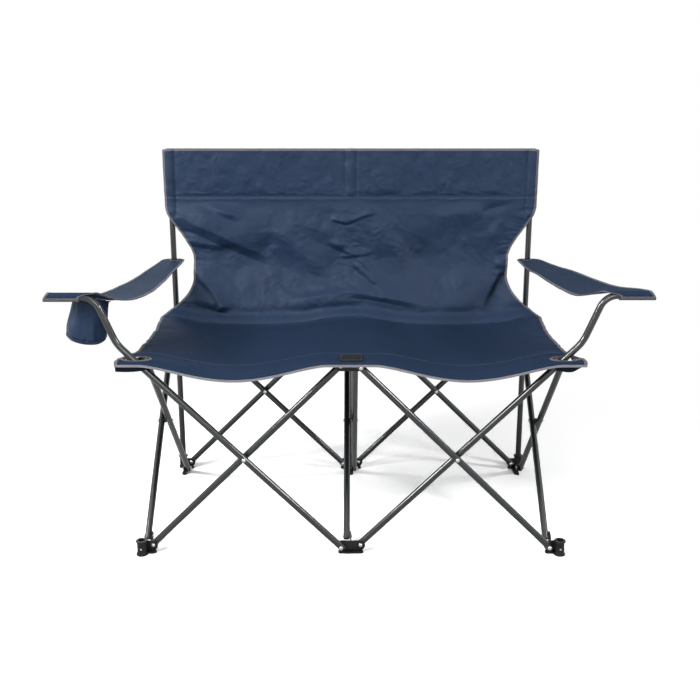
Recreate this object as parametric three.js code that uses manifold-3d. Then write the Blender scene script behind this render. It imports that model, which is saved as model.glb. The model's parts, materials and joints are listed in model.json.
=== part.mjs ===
// Folding camping loveseat: a steel frame of seven scissor pairs that folds like an umbrella,
// with a cloth seat and back, two cloth armrests and a cup holder.
// Millimetres, +Z up, +X to the sitter's left when seen from the front, the sitter faces -Y.
// The origin is on the floor under the middle of the frame.
import * as THREE from "three";
import { mergeVertices } from "three/addons/utils/BufferGeometryUtils.js";
import Module from "manifold-3d";

const wasm = await Module();
wasm.setup();

// Tubes
const tubeDiameter = 15;
const tubeWall = 1;
const tubeSides = 10;
const tubeRadius = tubeDiameter / 2;

// Scissor pairs: every leg has the same length between its end pivots
const legLength = 600;
const legOverhang = 6.5;
const openAngle = THREE.MathUtils.degToRad(45.4);
const legSpread = legLength * Math.sin(openAngle);
const legRise = legLength * Math.cos(openAngle);
const lowPivotHeight = 19;
const highPivotHeight = lowPivotHeight + legRise;
const crossingHeight = lowPivotHeight + legRise / 2;

// Plan of the pivots
const centrePivotOffset = 22;
const outerPivotOffset = centrePivotOffset + legSpread;
const sidePivotInset = 46;
const sidePlaneOutset = 12;
const sidePlane = outerPivotOffset + sidePlaneOutset;
const frontPlane = -(legSpread / 2 + sidePivotInset);
const rearPlane = -frontPlane;

// Moulded brackets: one thin ear in each plane, with a leg riveted to its face
const earThickness = 3;
const earRadius = 11;
const webDrop = 2.5;
const webReach = 15;
const pivotGap = 0.3;
const legOffset = earThickness / 2 + pivotGap + tubeRadius;
const padThickness = 5;
const padHalfWidth = 7;
const bossInset = 27;
const arcSteps = 3;
const cutOverrun = 4;

// Rivets
const rivetRadius = 2;
const rivetClearance = 0.3;
const rivetHeadRadius = 4.5;
const rivetHeadHeight = 2.2;
const rivetSides = 8;
const shankSides = 6;
const spacerRadius = 5;
const headShoulderShare = 0.7;
const headCrownShare = 0.75;

// Posts of the back, their sockets and the sliding collars
const postOutset = 24;
const postSetback = 10;
const postRise = 437.7;
const postTop = highPivotHeight + postRise;
const postFloor = 6;
const postSides = 10;
const postCapHeight = 3;
const postPlugLength = 12;
const socketSides = 12;
const socketClearance = 0.4;
const socketWall = 2.6;
const socketHeight = 36;
const socketFlange = 2.3;
const socketFlangeHeight = 3.5;
const collarClearance = 0.5;
const collarHeight = 30;
const screwHoleRadius = 1.8;
const screwHoleHeight = 17;
const outerPost = outerPivotOffset + postOutset;
const postPlane = rearPlane + postSetback;
const socketBore = tubeRadius + socketClearance;
const socketRadius = socketBore + socketWall;
const socketFlangeRadius = socketRadius + socketFlange;

// Arms: the front legs run on above their hubs and bend twice to carry the armrests
const armBendStart = 73;
const armRiseAngle = THREE.MathUtils.degToRad(22.5);
const armRise = 153.7;
const armHeight = highPivotHeight + armRise;
const armOutreach = 166.8;
const armReach = outerPost + armOutreach;
const lowBendRadius = 90;
const highBendRadius = 40;
const bendStepAngle = THREE.MathUtils.degToRad(17);

// Cloth
const clothThickness = 2;
const clothGap = 0.4;
const bossGap = 0.9;

// Seat cloth
const seatFront = frontPlane - socketFlangeRadius - postSetback + clothThickness / 2;
const seatRearInset = 64;
const seatRear = rearPlane - seatRearInset;
const seatCornerOverhang = 32.8;
const seatCornerReach = outerPost + seatCornerOverhang;
const seatWaistOverhang = 6.8;
const seatWaistReach = outerPost + seatWaistOverhang;
const seatRearOverhang = 25.8;
const seatRearReach = outerPost + seatRearOverhang;
const seatCornerTaper = 0.16;
const seatLip = 11;
const seatLipRadius = 4;
const cornerDrop = 20;
const cornerStartInset = 43.2;
const cornerStart = outerPost - cornerStartInset;
const cornerFullInset = 15.2;
const cornerFull = outerPost - cornerFullInset;
const seatBossRise = 3.7;
const seatRearDrop = 3;
const seatFrontHeight = highPivotHeight + earRadius + seatBossRise;
const seatRearHeight = seatFrontHeight - seatRearDrop;
const seatSpanSag = 3;
const seatFrontDip = 34;
const seatMiddleDip = 42;
const seatBayInner = 55;
const seatBayOverhang = 2.8;
const seatBayOuter = outerPivotOffset + seatBayOverhang;
const seatBayPower = 1.4;
const seatRearDip = 8;
const seatColumns = 24;
const seatRows = 11;
const seatLipRowsShare = 3 / 11;
const legHoleGap = 1.6;

// Back cloth
const backTopOverhang = 15.8;
const backTopReach = outerPost + backTopOverhang;
const backWaistInset = 55.2;
const backWaistReach = outerPost - backWaistInset;
const backSeamOverhang = 25.8;
const backSeamReach = outerPost + backSeamOverhang;
const backWaistRise = 119.7;
const backWaistLow = highPivotHeight + backWaistRise;
const backWaistLength = 40;
const backWaistHigh = backWaistLow + backWaistLength;
const backShoulderDrop = 138;
const backShoulderHeight = postTop - backShoulderDrop;
const backBellyDepth = 9;
const backColumns = 20;
const backRows = 13;
const sleeveGap = 0.8;
const outerSleeveLength = 176;
const centreSleeveLength = 118;
const backTop = postTop + postCapHeight + clothGap + clothThickness;
const backLean = 0.62;

// Armrest cloth
const armrestOverhang = 10;
const armrestFrontReach = armReach + armrestOverhang;
const armrestFrontWidth = 105;
const armrestFrontInner = armReach - armrestFrontWidth;
const armrestRearOutset = 29.8;
const armrestRearReach = outerPost + armrestRearOutset;
const armrestRearInset = 29.2;
const armrestRearInner = outerPost - armrestRearInset;
const armrestSagShares = [0, 0.11, 0.25, 0.55, 0.77, 1];
const armrestSags = { left: [0, 27, 36, 32, 17, 0], right: [0, 19, 32, 31, 17, 0] };
const postHoleReach = 60;
const armrestRearDrop = 2;
const armrestRearHeight = armHeight - armrestRearDrop;
const armrestRearOverhang = 11.5;
const armSleeveLength = 78;
const armrestColumns = 6;
const armrestRows = 12;
const armrestOuterShares = [0, 0.36, 0.62, 1];
const armrestOuterNarrowShares = [0, 0.47, 0.72, 1];
const armrestInnerShares = [0, 0.11, 0.24, 0.4, 0.6, 1];
const armrestInnerNarrowShares = [0, 0.41, 0.64, 0.79, 0.79, 1];

// Cup holder, a cloth bag under the armrest at -X
const cupRadius = 44;
const cupMouthRadius = 40;
const cupWall = 2;
const cupCentreInset = 78;
const cupCentreReach = armReach - cupCentreInset;
const cupCentreDepth = 60;
const cupBottomDrop = 116;
const cupBottom = armHeight - cupBottomDrop;
const cupHeight = 130;
const cupCorner = 12;
const cupTilt = THREE.MathUtils.degToRad(12);
const cupMouthMargin = 5;
const cupSides = 16;

// Colours and finishes
const enamel = new THREE.MeshStandardMaterial({ color: 0x3f4444, metalness: 0.55, roughness: 0.38 });
const blackPlastic = new THREE.MeshStandardMaterial({ color: 0x1d1d1e, metalness: 0, roughness: 0.55 });
const zinc = new THREE.MeshStandardMaterial({ color: 0xc8cacc, metalness: 1, roughness: 0.3 });
const navyCloth = new THREE.MeshStandardMaterial({ color: 0x2f3f5a, metalness: 0, roughness: 0.85 });

const loveseat = new THREE.Group();

function place(name, geometry, material) {
  const mesh = new THREE.Mesh(geometry, material);
  mesh.name = name;
  loveseat.add(mesh);
  return mesh;
}

// Solids to join and cut, and back to a geometry
function solidOf(geometry) {
  const bare = geometry.clone();
  bare.deleteAttribute("normal");
  bare.deleteAttribute("uv");
  const merged = mergeVertices(bare, 1e-4);
  return new wasm.Manifold(
    new wasm.Mesh({
      numProp: 3,
      vertProperties: new Float32Array(merged.attributes.position.array),
      triVerts: new Uint32Array(merged.index.array),
    }),
  );
}

function geometryOf(solid) {
  const mesh = solid.getMesh();
  const geometry = new THREE.BufferGeometry();
  geometry.setAttribute("position", new THREE.BufferAttribute(new Float32Array(mesh.vertProperties), 3));
  geometry.setIndex(new THREE.BufferAttribute(new Uint32Array(mesh.triVerts), 1));
  geometry.computeVertexNormals();
  return geometry;
}

function shaped(joined, cuts = []) {
  let solid = joined.map(solidOf).reduce((whole, piece) => whole.add(piece));
  for (const cut of cuts) solid = solid.subtract(solidOf(cut));
  return geometryOf(solid);
}

// A ring or disc outline of a stated number of sides, its first corner at the angle "phase"
function roundShape(radius, sides, bore = 0, phase = 0) {
  const shape = new THREE.Shape();
  shape.absarc(0, 0, radius, phase, phase + Math.PI * 2);
  if (bore > 0) {
    const hole = new THREE.Path();
    hole.absarc(0, 0, bore, phase, phase + Math.PI * 2);
    shape.holes.push(hole);
  }
  return { shape, curveSegments: sides / 2 };
}

// A straight round bar or tube standing on the floor of its own frame
function bar(radius, sides, height, bore = 0, phase = 0) {
  const { shape, curveSegments } = roundShape(radius, sides, bore, phase);
  return new THREE.ExtrudeGeometry(shape, { depth: height, curveSegments, bevelEnabled: false });
}

// A solid of revolution about Z from its (radius, height) points, its first corner on +X
function turned(profile, sides) {
  const points = profile.map(([r, z]) => new THREE.Vector2(r, z));
  return new THREE.LatheGeometry(points, sides).rotateX(Math.PI / 2).rotateZ(Math.PI / 2);
}

function alongY(geometry) {
  return geometry.rotateX(-Math.PI / 2);
}

function alongX(geometry) {
  return geometry.rotateY(Math.PI / 2);
}

// A rivet shank or the hole for one, with flats on either side of the leg's long axis
function shank(radius, low, high) {
  return bar(radius, shankSides, high - low, 0, Math.PI / shankSides).translate(0, 0, low);
}

function drill(radius, reach) {
  return shank(radius, -reach, reach);
}

function arc(x, y, radius, from, to) {
  const points = [];
  for (let i = 0; i <= arcSteps; i++) {
    const angle = from + ((to - from) * i) / arcSteps;
    points.push(new THREE.Vector2(x + radius * Math.cos(angle), y + radius * Math.sin(angle)));
  }
  return points;
}

// A tube whose rings stand only where it starts, bends or ends
class BentLine extends THREE.Curve {
  constructor(stations) {
    super();
    this.stations = stations;
  }
  getPointAt(share, target = new THREE.Vector3()) {
    return target.copy(this.stations[Math.round(share * (this.stations.length - 1))].point);
  }
  getTangentAt(share, target = new THREE.Vector3()) {
    return target.copy(this.stations[Math.round(share * (this.stations.length - 1))].direction);
  }
}

function bentTube(stations) {
  const bore = tubeRadius - tubeWall;
  const { shape, curveSegments } = roundShape(tubeRadius, tubeSides, bore, Math.PI / tubeSides);
  return new THREE.ExtrudeGeometry(shape, {
    steps: stations.length - 1,
    curveSegments,
    bevelEnabled: false,
    extrudePath: new BentLine(stations),
  });
}

// Legs, each along +Z from its low pivot, with rivet holes along Y
function rivetHoles() {
  return [0, legLength / 2, legLength].map((height) =>
    alongY(drill(rivetRadius + rivetClearance, tubeDiameter)).translate(0, 0, height),
  );
}

function straightLeg() {
  const tube = bar(tubeRadius, tubeSides, legLength + legOverhang * 2, tubeRadius - tubeWall);
  return shaped([tube.translate(0, 0, -legOverhang)], rivetHoles());
}

// The arm's centre line, in the leg's own frame, turned back from where it stands when open
function armStations(outward) {
  const upright = new THREE.Vector3(0, 0, 1);
  const heading = (angle) => new THREE.Vector3(outward * Math.sin(angle), 0, Math.cos(angle));
  const stations = [{ point: upright.clone().multiplyScalar(-legOverhang), direction: upright }];
  const legDirection = heading(openAngle);
  const riseDirection = heading(armRiseAngle);
  const level = heading(Math.PI / 2);
  const lowCorner = legDirection.clone().multiplyScalar(legLength + armBendStart);
  const riseLength = (armHeight - lowPivotHeight - lowCorner.z) / riseDirection.z;
  const highCorner = lowCorner.clone().addScaledVector(riseDirection, riseLength);
  const reach = armReach - centrePivotOffset;
  const tip = new THREE.Vector3(outward * reach, 0, highCorner.z);
  const open = new THREE.Quaternion().setFromAxisAngle(new THREE.Vector3(0, 1, 0), -outward * openAngle);
  const add = (point, direction) =>
    stations.push({ point: point.clone().applyQuaternion(open), direction: direction.clone().applyQuaternion(open) });
  const bend = (corner, from, to, radius) => {
    const turn = to - from;
    const cutback = radius * Math.tan(Math.abs(turn) / 2);
    const side = Math.sign(turn);
    const start = corner.clone().addScaledVector(heading(from), -cutback);
    const centre = start.clone().addScaledVector(heading(from + (side * Math.PI) / 2), radius);
    const steps = Math.ceil(Math.abs(turn) / bendStepAngle);
    for (let i = 0; i <= steps; i++) {
      const angle = from + (turn * i) / steps;
      add(centre.clone().addScaledVector(heading(angle + (side * Math.PI) / 2), -radius), heading(angle));
    }
  };
  bend(lowCorner, openAngle, armRiseAngle, lowBendRadius);
  bend(highCorner, armRiseAngle, Math.PI / 2, highBendRadius);
  add(tip, level);
  return stations;
}

function armLeg(outward) {
  return shaped([bentTube(armStations(outward))], rivetHoles());
}

// A domed rivet head standing on Z
function rivetHead() {
  const shoulder = [rivetHeadRadius * headShoulderShare, rivetHeadHeight * headCrownShare];
  return turned([[0, 0], [rivetHeadRadius, 0], shoulder, [0, rivetHeadHeight]], rivetSides);
}

// A rivet along Y from one head to the other, with a spacer in its middle where two legs cross
function rivet(low, high, spacer) {
  const heads = [rivetHead().translate(0, 0, high), rivetHead().rotateX(Math.PI).translate(0, 0, low)];
  const middle = bar(spacerRadius, rivetSides, spacer * 2).translate(0, 0, -spacer);
  return alongY(shaped([shank(rivetRadius, low, high), ...heads, ...(spacer > 0 ? [middle] : [])]));
}

// The ear's middle plane is at zero, and the leg on the side stated
function pivotRivet(side) {
  const geometry = rivet(-(earThickness / 2 + pivotGap), legOffset + tubeRadius + pivotGap, 0);
  return side > 0 ? geometry : geometry.rotateX(Math.PI);
}

function crossingRivet() {
  const reach = legOffset + tubeRadius + pivotGap;
  return rivet(-reach, reach, legOffset - tubeRadius - pivotGap);
}

// The round end of an ear, from its bevelled toe, where it has one, up over its pivot
function earEnd(root, pivot, height, toe) {
  const way = Math.sign(pivot - root);
  const from = toe === undefined ? -Math.PI / 2 : -Math.PI / 6;
  const end = arc(0, 0, earRadius, from, Math.PI / 2);
  const points = end.map((p) => new THREE.Vector2(pivot + way * p.x, height + p.y));
  if (toe !== undefined) points.unshift(new THREE.Vector2(pivot, toe));
  return points;
}

// A short ear keeps its height to its root
function shortOutline(root, pivot, height, toe) {
  const foot = toe === undefined ? height - earRadius : toe;
  const stem = [new THREE.Vector2(root, height + earRadius), new THREE.Vector2(root, foot)];
  return [...earEnd(root, pivot, height, toe), ...stem];
}

// A long ear drops to a low web, which lets the end of a leg swing past above it
function longOutline(root, pivot, height, toe) {
  const foot = toe === undefined ? height - earRadius : toe;
  const webEnd = pivot - Math.sign(pivot - root) * webReach;
  const web = height - webDrop;
  const stem = [[webEnd, web], [root, web], [root, foot]].map(([x, z]) => new THREE.Vector2(x, z));
  return [...earEnd(root, pivot, height, toe), ...stem];
}

// Two ears back to back
function doubleOutline(left, right, height, toe) {
  return [...earEnd(0, right, height, toe), ...earEnd(0, left, height, toe).reverse()];
}

function uprightPlate(points) {
  const shape = new THREE.Shape(points);
  const plate = new THREE.ExtrudeGeometry(shape, { depth: earThickness, bevelEnabled: false });
  return plate.translate(0, 0, -earThickness / 2);
}

function plateAcross(points) {
  return uprightPlate(points).rotateX(Math.PI / 2);
}

function plateFrontToBack(points) {
  const turn = new THREE.Matrix4().makeBasis(
    new THREE.Vector3(0, 1, 0),
    new THREE.Vector3(0, 0, 1),
    new THREE.Vector3(1, 0, 0),
  );
  return uprightPlate(points).applyMatrix4(turn);
}

// A flat bridge in the cross plane between a side ear and a socket or ring
function bridge(fromX, toX, low, high) {
  const box = new THREE.BoxGeometry(Math.abs(toX - fromX), earThickness, high - low);
  return box.translate((fromX + toX) / 2, 0, (low + high) / 2);
}

function padAlong(fromX, fromY, toX, toY) {
  const heading = Math.atan2(toY - fromY, toX - fromX);
  const start = arc(fromX, fromY, padHalfWidth, heading + Math.PI / 2, heading + (Math.PI * 3) / 2);
  const end = arc(toX, toY, padHalfWidth, heading - Math.PI / 2, heading + Math.PI / 2);
  const shape = new THREE.Shape([...start, ...end]);
  return new THREE.ExtrudeGeometry(shape, { depth: padThickness, bevelEnabled: false });
}

// One bracket is described by where its pivots lie; all of them share the two ears
function bracketEars({ pivots, sideX, inward, height, toe }) {
  const [first, second] = pivots;
  const single = second === undefined;
  const across = single
    ? shortOutline(sideX, first.x, height, toe)
    : doubleOutline(first.x, second.x, height, toe);
  const side = longOutline(0, inward * sidePivotInset, height, toe);
  return [plateAcross(across), plateFrontToBack(side).translate(sideX, 0, 0)];
}

function holesThrough({ pivots, sideX, inward, height }) {
  const radius = rivetRadius + rivetClearance;
  const across = pivots.map(({ x }) => alongY(drill(radius, earRadius)).translate(x, 0, height));
  const side = alongX(drill(radius, earThickness)).translate(sideX, inward * sidePivotInset, height);
  return [...across, side];
}

function rivetsOf({ pivots, sideX, inward, height, sideLeg }) {
  const across = pivots.map(({ x, leg }) => pivotRivet(leg).translate(x, 0, height));
  const side = pivotRivet(sideLeg).rotateZ(-Math.PI / 2).translate(sideX, inward * sidePivotInset, height);
  return [...across, side];
}

function socket(x, y) {
  const spool = [
    [0, 0],
    [socketFlangeRadius, 0],
    [socketFlangeRadius, padThickness],
    [socketRadius, padThickness + socketFlange],
    [socketRadius, socketHeight - socketFlangeHeight - socketFlange],
    [socketFlangeRadius, socketHeight - socketFlangeHeight],
    [socketFlangeRadius, socketHeight],
    [0, socketHeight],
  ];
  return turned(spool, socketSides).translate(x, y, 0);
}

function socketCuts(x, y, outward) {
  const bore = bar(socketBore, postSides, socketHeight - postFloor + cutOverrun).translate(x, y, postFloor - pivotGap);
  const screw = bar(screwHoleRadius, rivetSides, socketRadius + cutOverrun);
  const hole = alongY(screw);
  if (outward < 0) hole.rotateZ(Math.PI);
  return [bore, hole.translate(x, y, screwHoleHeight)];
}

function collar(x, y, height) {
  const ring = bar(socketRadius, socketSides, collarHeight);
  return ring.translate(x, y, height - collarHeight / 2);
}

function collarBore(x, y, height) {
  const bore = bar(tubeRadius + collarClearance, postSides, collarHeight + cutOverrun * 2);
  return bore.translate(x, y, height - collarHeight / 2 - cutOverrun);
}

// Where each bracket of a row has its pivots: a leg on the -Y face counts -1, on the +Y face 1
const columns = {
  left: { sideX: -sidePlane, foot: [[-outerPivotOffset, 1]], top: [[-outerPivotOffset, -1]] },
  centre: {
    sideX: 0,
    foot: [[-centrePivotOffset, -1], [centrePivotOffset, 1]],
    top: [[-centrePivotOffset, 1], [centrePivotOffset, -1]],
  },
  right: { sideX: sidePlane, foot: [[outerPivotOffset, -1]], top: [[outerPivotOffset, 1]] },
};

function pivotList(entries) {
  return entries.map(([x, leg]) => ({ x, leg }));
}

function postX(column) {
  return column === "centre" ? 0 : Math.sign(columns[column].sideX) * outerPost;
}

function buildFoot(row, column) {
  const front = row === "front";
  const plane = front ? frontPlane : rearPlane;
  const inward = front ? 1 : -1;
  const { sideX, foot } = columns[column];
  const spec = {
    pivots: pivotList(foot), sideX, inward, height: lowPivotHeight, toe: 0, sideLeg: front ? -1 : 1,
  };
  const xs = spec.pivots.map((p) => p.x);
  const socketX = postX(column);
  const socketY = -inward * postSetback;
  const hasSocket = !(front && column === "centre");
  const acrossPad = padAlong(Math.min(...xs, sideX), 0, Math.max(...xs, sideX), 0);
  const pads = [acrossPad, padAlong(sideX, 0, sideX, inward * sidePivotInset)];
  const joined = [...bracketEars(spec), ...pads];
  const cuts = holesThrough(spec);
  if (hasSocket) {
    joined.push(socket(socketX, socketY), padAlong(sideX, 0, socketX, socketY));
    if (column !== "centre") joined.push(bridge(sideX, socketX, 0, socketHeight - socketFlangeHeight));
    cuts.push(...socketCuts(socketX, socketY, -inward));
  } else {
    cuts.push(alongY(drill(screwHoleRadius, earRadius)).translate(0, 0, screwHoleHeight));
  }
  place(`${row}_${column}_foot`, shaped(joined, cuts), blackPlastic).position.y = plane;
  const names = column === "centre" ? ["rivet_left", "rivet_right", "rivet_side"] : ["rivet_cross", "rivet_side"];
  rivetsOf(spec).forEach((geometry, i) => {
    place(`${row}_${column}_foot_${names[i]}`, geometry, zinc).position.y = plane;
  });
}

// Front hubs carry the seat's front edge on a low boss over their side ear
function buildHub(column) {
  const { sideX, top } = columns[column];
  const spec = { pivots: pivotList(top), sideX, inward: 1, height: highPivotHeight, sideLeg: 1 };
  const bossTop = seatHeight(sideX, bossPlace) - clothThickness / 2 - bossGap;
  const bossLow = highPivotHeight - earRadius;
  const boss = bar(padHalfWidth, tubeSides, bossTop - bossLow).translate(sideX, bossInset, bossLow);
  const geometry = shaped([...bracketEars(spec), boss, ...rivetsOf(spec)]);
  place(`front_${column}_hub`, geometry, blackPlastic).position.y = frontPlane;
}

// Rear collars hold the tops of the rear and side legs and slide on the posts
function buildCollar(column) {
  const { sideX, top } = columns[column];
  const spec = { pivots: pivotList(top), sideX, inward: -1, height: highPivotHeight, sideLeg: -1 };
  const x = postX(column);
  const joined = [...bracketEars(spec), collar(x, postSetback, highPivotHeight), ...rivetsOf(spec)];
  if (column !== "centre") {
    joined.push(bridge(sideX, x, highPivotHeight - earRadius, highPivotHeight + earRadius));
  }
  const cuts = [collarBore(x, postSetback, highPivotHeight)];
  place(`rear_${column}_collar`, shaped(joined, cuts), blackPlastic).position.y = rearPlane;
}

// Posts and their caps
function buildPost(column) {
  const x = postX(column);
  const tube = bar(tubeRadius, postSides, postTop - postFloor, tubeRadius - tubeWall);
  place(`rear_${column}_post`, tube, enamel).position.set(x, postPlane, postFloor);
  const plugRadius = tubeRadius - tubeWall - pivotGap;
  const profile = [
    [0, -postPlugLength],
    [plugRadius, -postPlugLength],
    [plugRadius, pivotGap],
    [tubeRadius, pivotGap],
    [tubeRadius, postCapHeight / 2],
    [tubeRadius * headShoulderShare, postCapHeight],
    [0, postCapHeight],
  ];
  place(`rear_${column}_post_cap`, turned(profile, postSides), blackPlastic).position.set(x, postPlane, postTop);
}

// Legs of the front and rear rows: "rising" ones start at the centre bracket, "crossing" ones at the outer
function buildRow(row) {
  const plane = row === "front" ? frontPlane : rearPlane;
  for (const [column, outward] of [["left", -1], ["right", 1]]) {
    const rising = row === "front" ? armLeg(outward) : straightLeg();
    const risingLeg = place(`${row}_${column}_rising_leg`, rising, enamel);
    risingLeg.position.set(outward * centrePivotOffset, plane + outward * legOffset, lowPivotHeight);
    risingLeg.rotation.y = outward * openAngle;
    const crossingLeg = place(`${row}_${column}_crossing_leg`, straightLeg(), enamel);
    crossingLeg.position.set(outward * outerPivotOffset, plane - outward * legOffset, lowPivotHeight);
    crossingLeg.rotation.y = -outward * openAngle;
    const middle = (outward * (centrePivotOffset + outerPivotOffset)) / 2;
    place(`${row}_${column}_crossing_rivet`, crossingRivet(), zinc).position.set(middle, plane, crossingHeight);
  }
}

// Legs of the three side scissors: one from the rear foot up to the front hub, one from the front foot back
function buildSide(column) {
  const x = columns[column].sideX;
  const frontPivot = frontPlane + sidePivotInset;
  const rearPivot = rearPlane - sidePivotInset;
  const forward = place(`side_${column}_forward_leg`, straightLeg(), enamel);
  forward.position.set(x + legOffset, rearPivot, lowPivotHeight);
  forward.rotation.set(openAngle, 0, Math.PI / 2);
  const backward = place(`side_${column}_backward_leg`, straightLeg(), enamel);
  backward.position.set(x - legOffset, frontPivot, lowPivotHeight);
  backward.rotation.set(-openAngle, 0, Math.PI / 2);
  const rivetMesh = place(`side_${column}_crossing_rivet`, crossingRivet(), zinc);
  rivetMesh.position.set(x, 0, crossingHeight);
  rivetMesh.rotation.z = -Math.PI / 2;
}

// A sheet of cloth: at(u, v) is its middle surface, with u and v from 0 to 1
function sheet(at, columnCount, rowCount, thickness) {
  const step = 1e-3;
  const faces = [1, -1].map(() => []);
  const alongU = new THREE.Vector3();
  const alongV = new THREE.Vector3();
  for (let j = 0; j <= rowCount; j++) {
    for (let i = 0; i <= columnCount; i++) {
      const u = i / columnCount;
      const v = j / rowCount;
      alongU.subVectors(at(Math.min(u + step, 1), v), at(Math.max(u - step, 0), v));
      alongV.subVectors(at(u, Math.min(v + step, 1)), at(u, Math.max(v - step, 0)));
      const normal = alongU.clone().cross(alongV).normalize();
      faces[0].push(at(u, v).addScaledVector(normal, thickness / 2));
      faces[1].push(at(u, v).addScaledVector(normal, -thickness / 2));
    }
  }
  const count = (columnCount + 1) * (rowCount + 1);
  const index = [];
  const quad = (a, b, c, d) => index.push(a, b, c, a, c, d);
  const spot = (i, j) => j * (columnCount + 1) + i;
  for (let j = 0; j < rowCount; j++) {
    for (let i = 0; i < columnCount; i++) {
      quad(spot(i, j), spot(i + 1, j), spot(i + 1, j + 1), spot(i, j + 1));
      quad(count + spot(i, j), count + spot(i, j + 1), count + spot(i + 1, j + 1), count + spot(i + 1, j));
    }
  }
  for (let i = 0; i < columnCount; i++) {
    quad(spot(i, 0), count + spot(i, 0), count + spot(i + 1, 0), spot(i + 1, 0));
    const far = (k) => spot(k, rowCount);
    quad(far(i), far(i + 1), count + far(i + 1), count + far(i));
  }
  for (let j = 0; j < rowCount; j++) {
    quad(spot(0, j), spot(0, j + 1), count + spot(0, j + 1), count + spot(0, j));
    const far = (k) => spot(columnCount, k);
    quad(far(j), count + far(j), count + far(j + 1), far(j + 1));
  }
  const geometry = new THREE.BufferGeometry();
  const positions = [...faces[0], ...faces[1]].flatMap((p) => [p.x, p.y, p.z]);
  geometry.setAttribute("position", new THREE.BufferAttribute(new Float32Array(positions), 3));
  geometry.setIndex(index);
  return geometry;
}

const mix = THREE.MathUtils.lerp;
const eased = THREE.MathUtils.smoothstep;
const bossPlace = (frontPlane + bossInset - seatFront) / (seatRear - seatFront);

// Seat: held at three hubs in front and three collars behind, it dips in each bay between them.
// Its hem hangs lower at the two front corners.
function seatHeight(x, depth) {
  const share = THREE.MathUtils.clamp((Math.abs(x) - seatBayInner) / (seatBayOuter - seatBayInner), 0, 1);
  const inside = Math.max(Math.sin(Math.PI * share), 0) ** seatBayPower;
  const swell = Math.sin(Math.PI * depth);
  const dip = mix(seatFrontDip, seatRearDip, depth) + (seatMiddleDip - seatFrontDip) * swell;
  return mix(seatFrontHeight, seatRearHeight, depth) - seatSpanSag * swell - dip * inside;
}

function seatReach(depth) {
  const waist = mix(seatWaistReach, seatRearReach, depth ** 2);
  return mix(seatCornerReach, waist, eased(depth, 0, seatCornerTaper));
}

function seatAt(u, v) {
  if (v >= seatLipRowsShare) {
    const depth = (v - seatLipRowsShare) / (1 - seatLipRowsShare);
    const x = mix(-1, 1, u) * seatReach(depth);
    const y = mix(seatFront + seatLipRadius, seatRear, depth);
    return new THREE.Vector3(x, y, seatHeight(x, depth));
  }
  const along = 1 - v / seatLipRowsShare;
  const x = mix(-1, 1, u) * seatReach(0);
  const turn = Math.min(along * 1.5, 1) * (Math.PI / 2);
  const corner = cornerDrop * eased(Math.abs(x), cornerStart, cornerFull);
  const hang = Math.max(along * 1.5 - 1, 0) * 2 * (seatLip - seatLipRadius + corner);
  const y = seatFront + seatLipRadius * (1 - Math.sin(turn));
  return new THREE.Vector3(x, y, seatHeight(x, 0) - seatLipRadius * (1 - Math.cos(turn)) - hang);
}

function legThroughSeat(outward) {
  const passage = bar(tubeRadius + legHoleGap, tubeSides, armBendStart + legOverhang).translate(0, 0, legLength);
  passage.rotateY(outward * openAngle);
  return passage.translate(outward * centrePivotOffset, frontPlane + outward * legOffset, lowPivotHeight);
}

function buildSeat() {
  const cloth = sheet(seatAt, seatColumns, seatRows, clothThickness);
  place("seat_panel", shaped([cloth], [legThroughSeat(-1), legThroughSeat(1)]), navyCloth);
}

// Back: from the seat's rear seam up to the sleeves on the posts
const backLow = seatRear + clothThickness / 2 + clothGap;
const backHigh = postPlane - tubeRadius - sleeveGap - clothThickness / 2;

function backReach(height) {
  const flare = Math.max(backWaistLow - height, 0) / (backWaistLow - seatRearHeight);
  const shoulder = mix(backWaistReach, backTopReach, eased(height, backWaistHigh, backShoulderHeight));
  return mix(shoulder, backSeamReach, flare ** 2);
}

function backAt(u, v) {
  const share = v;
  const tall = backTop - seatRearHeight;
  const height = seatRearHeight + tall * share;
  const x = mix(-1, 1, u) * backReach(height);
  const lift = (seatHeight(x, 1) - seatRearHeight) * (1 - share) ** 2;
  const lean = Math.min(share / (1 - backLean), 1);
  const bay = Math.abs(x) < outerPost ? Math.sin((Math.PI * x) / outerPost) ** 2 : 0;
  const belly = backBellyDepth * bay * Math.sin(Math.PI * share);
  const y = mix(backLow, backHigh, Math.sin((lean * Math.PI) / 2)) + belly;
  return new THREE.Vector3(x, y, height + lift);
}

function sleeve(x, length) {
  const bore = tubeRadius + sleeveGap;
  const hull = bar(bore + clothThickness, postSides, length).translate(x, postPlane, backTop - length);
  const room = bar(bore, postSides, length - clothThickness + cutOverrun);
  return { hull, room: room.translate(x, postPlane, backTop - length - cutOverrun) };
}

function buildBack() {
  const cloth = sheet(backAt, backColumns, backRows, clothThickness);
  const sleeves = [
    sleeve(-outerPost, outerSleeveLength),
    sleeve(0, centreSleeveLength),
    sleeve(outerPost, outerSleeveLength),
  ];
  const joined = [cloth, ...sleeves.map((s) => s.hull)];
  place("back_panel", shaped(joined, sleeves.map((s) => s.room)), navyCloth);
}

// Armrests: a sleeve on the arm in front, a hammock of cloth, and a hole for the post behind
function throughPoints(shares, values, share) {
  const points = shares.map((s, i) => new THREE.Vector2(s, values[i]));
  const curve = new THREE.SplineCurve(points);
  let low = 0;
  let high = 1;
  for (let i = 0; i < 24; i++) {
    const half = (low + high) / 2;
    if (curve.getPoint(half).x < share) low = half;
    else high = half;
  }
  return curve.getPoint(low).y;
}

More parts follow.
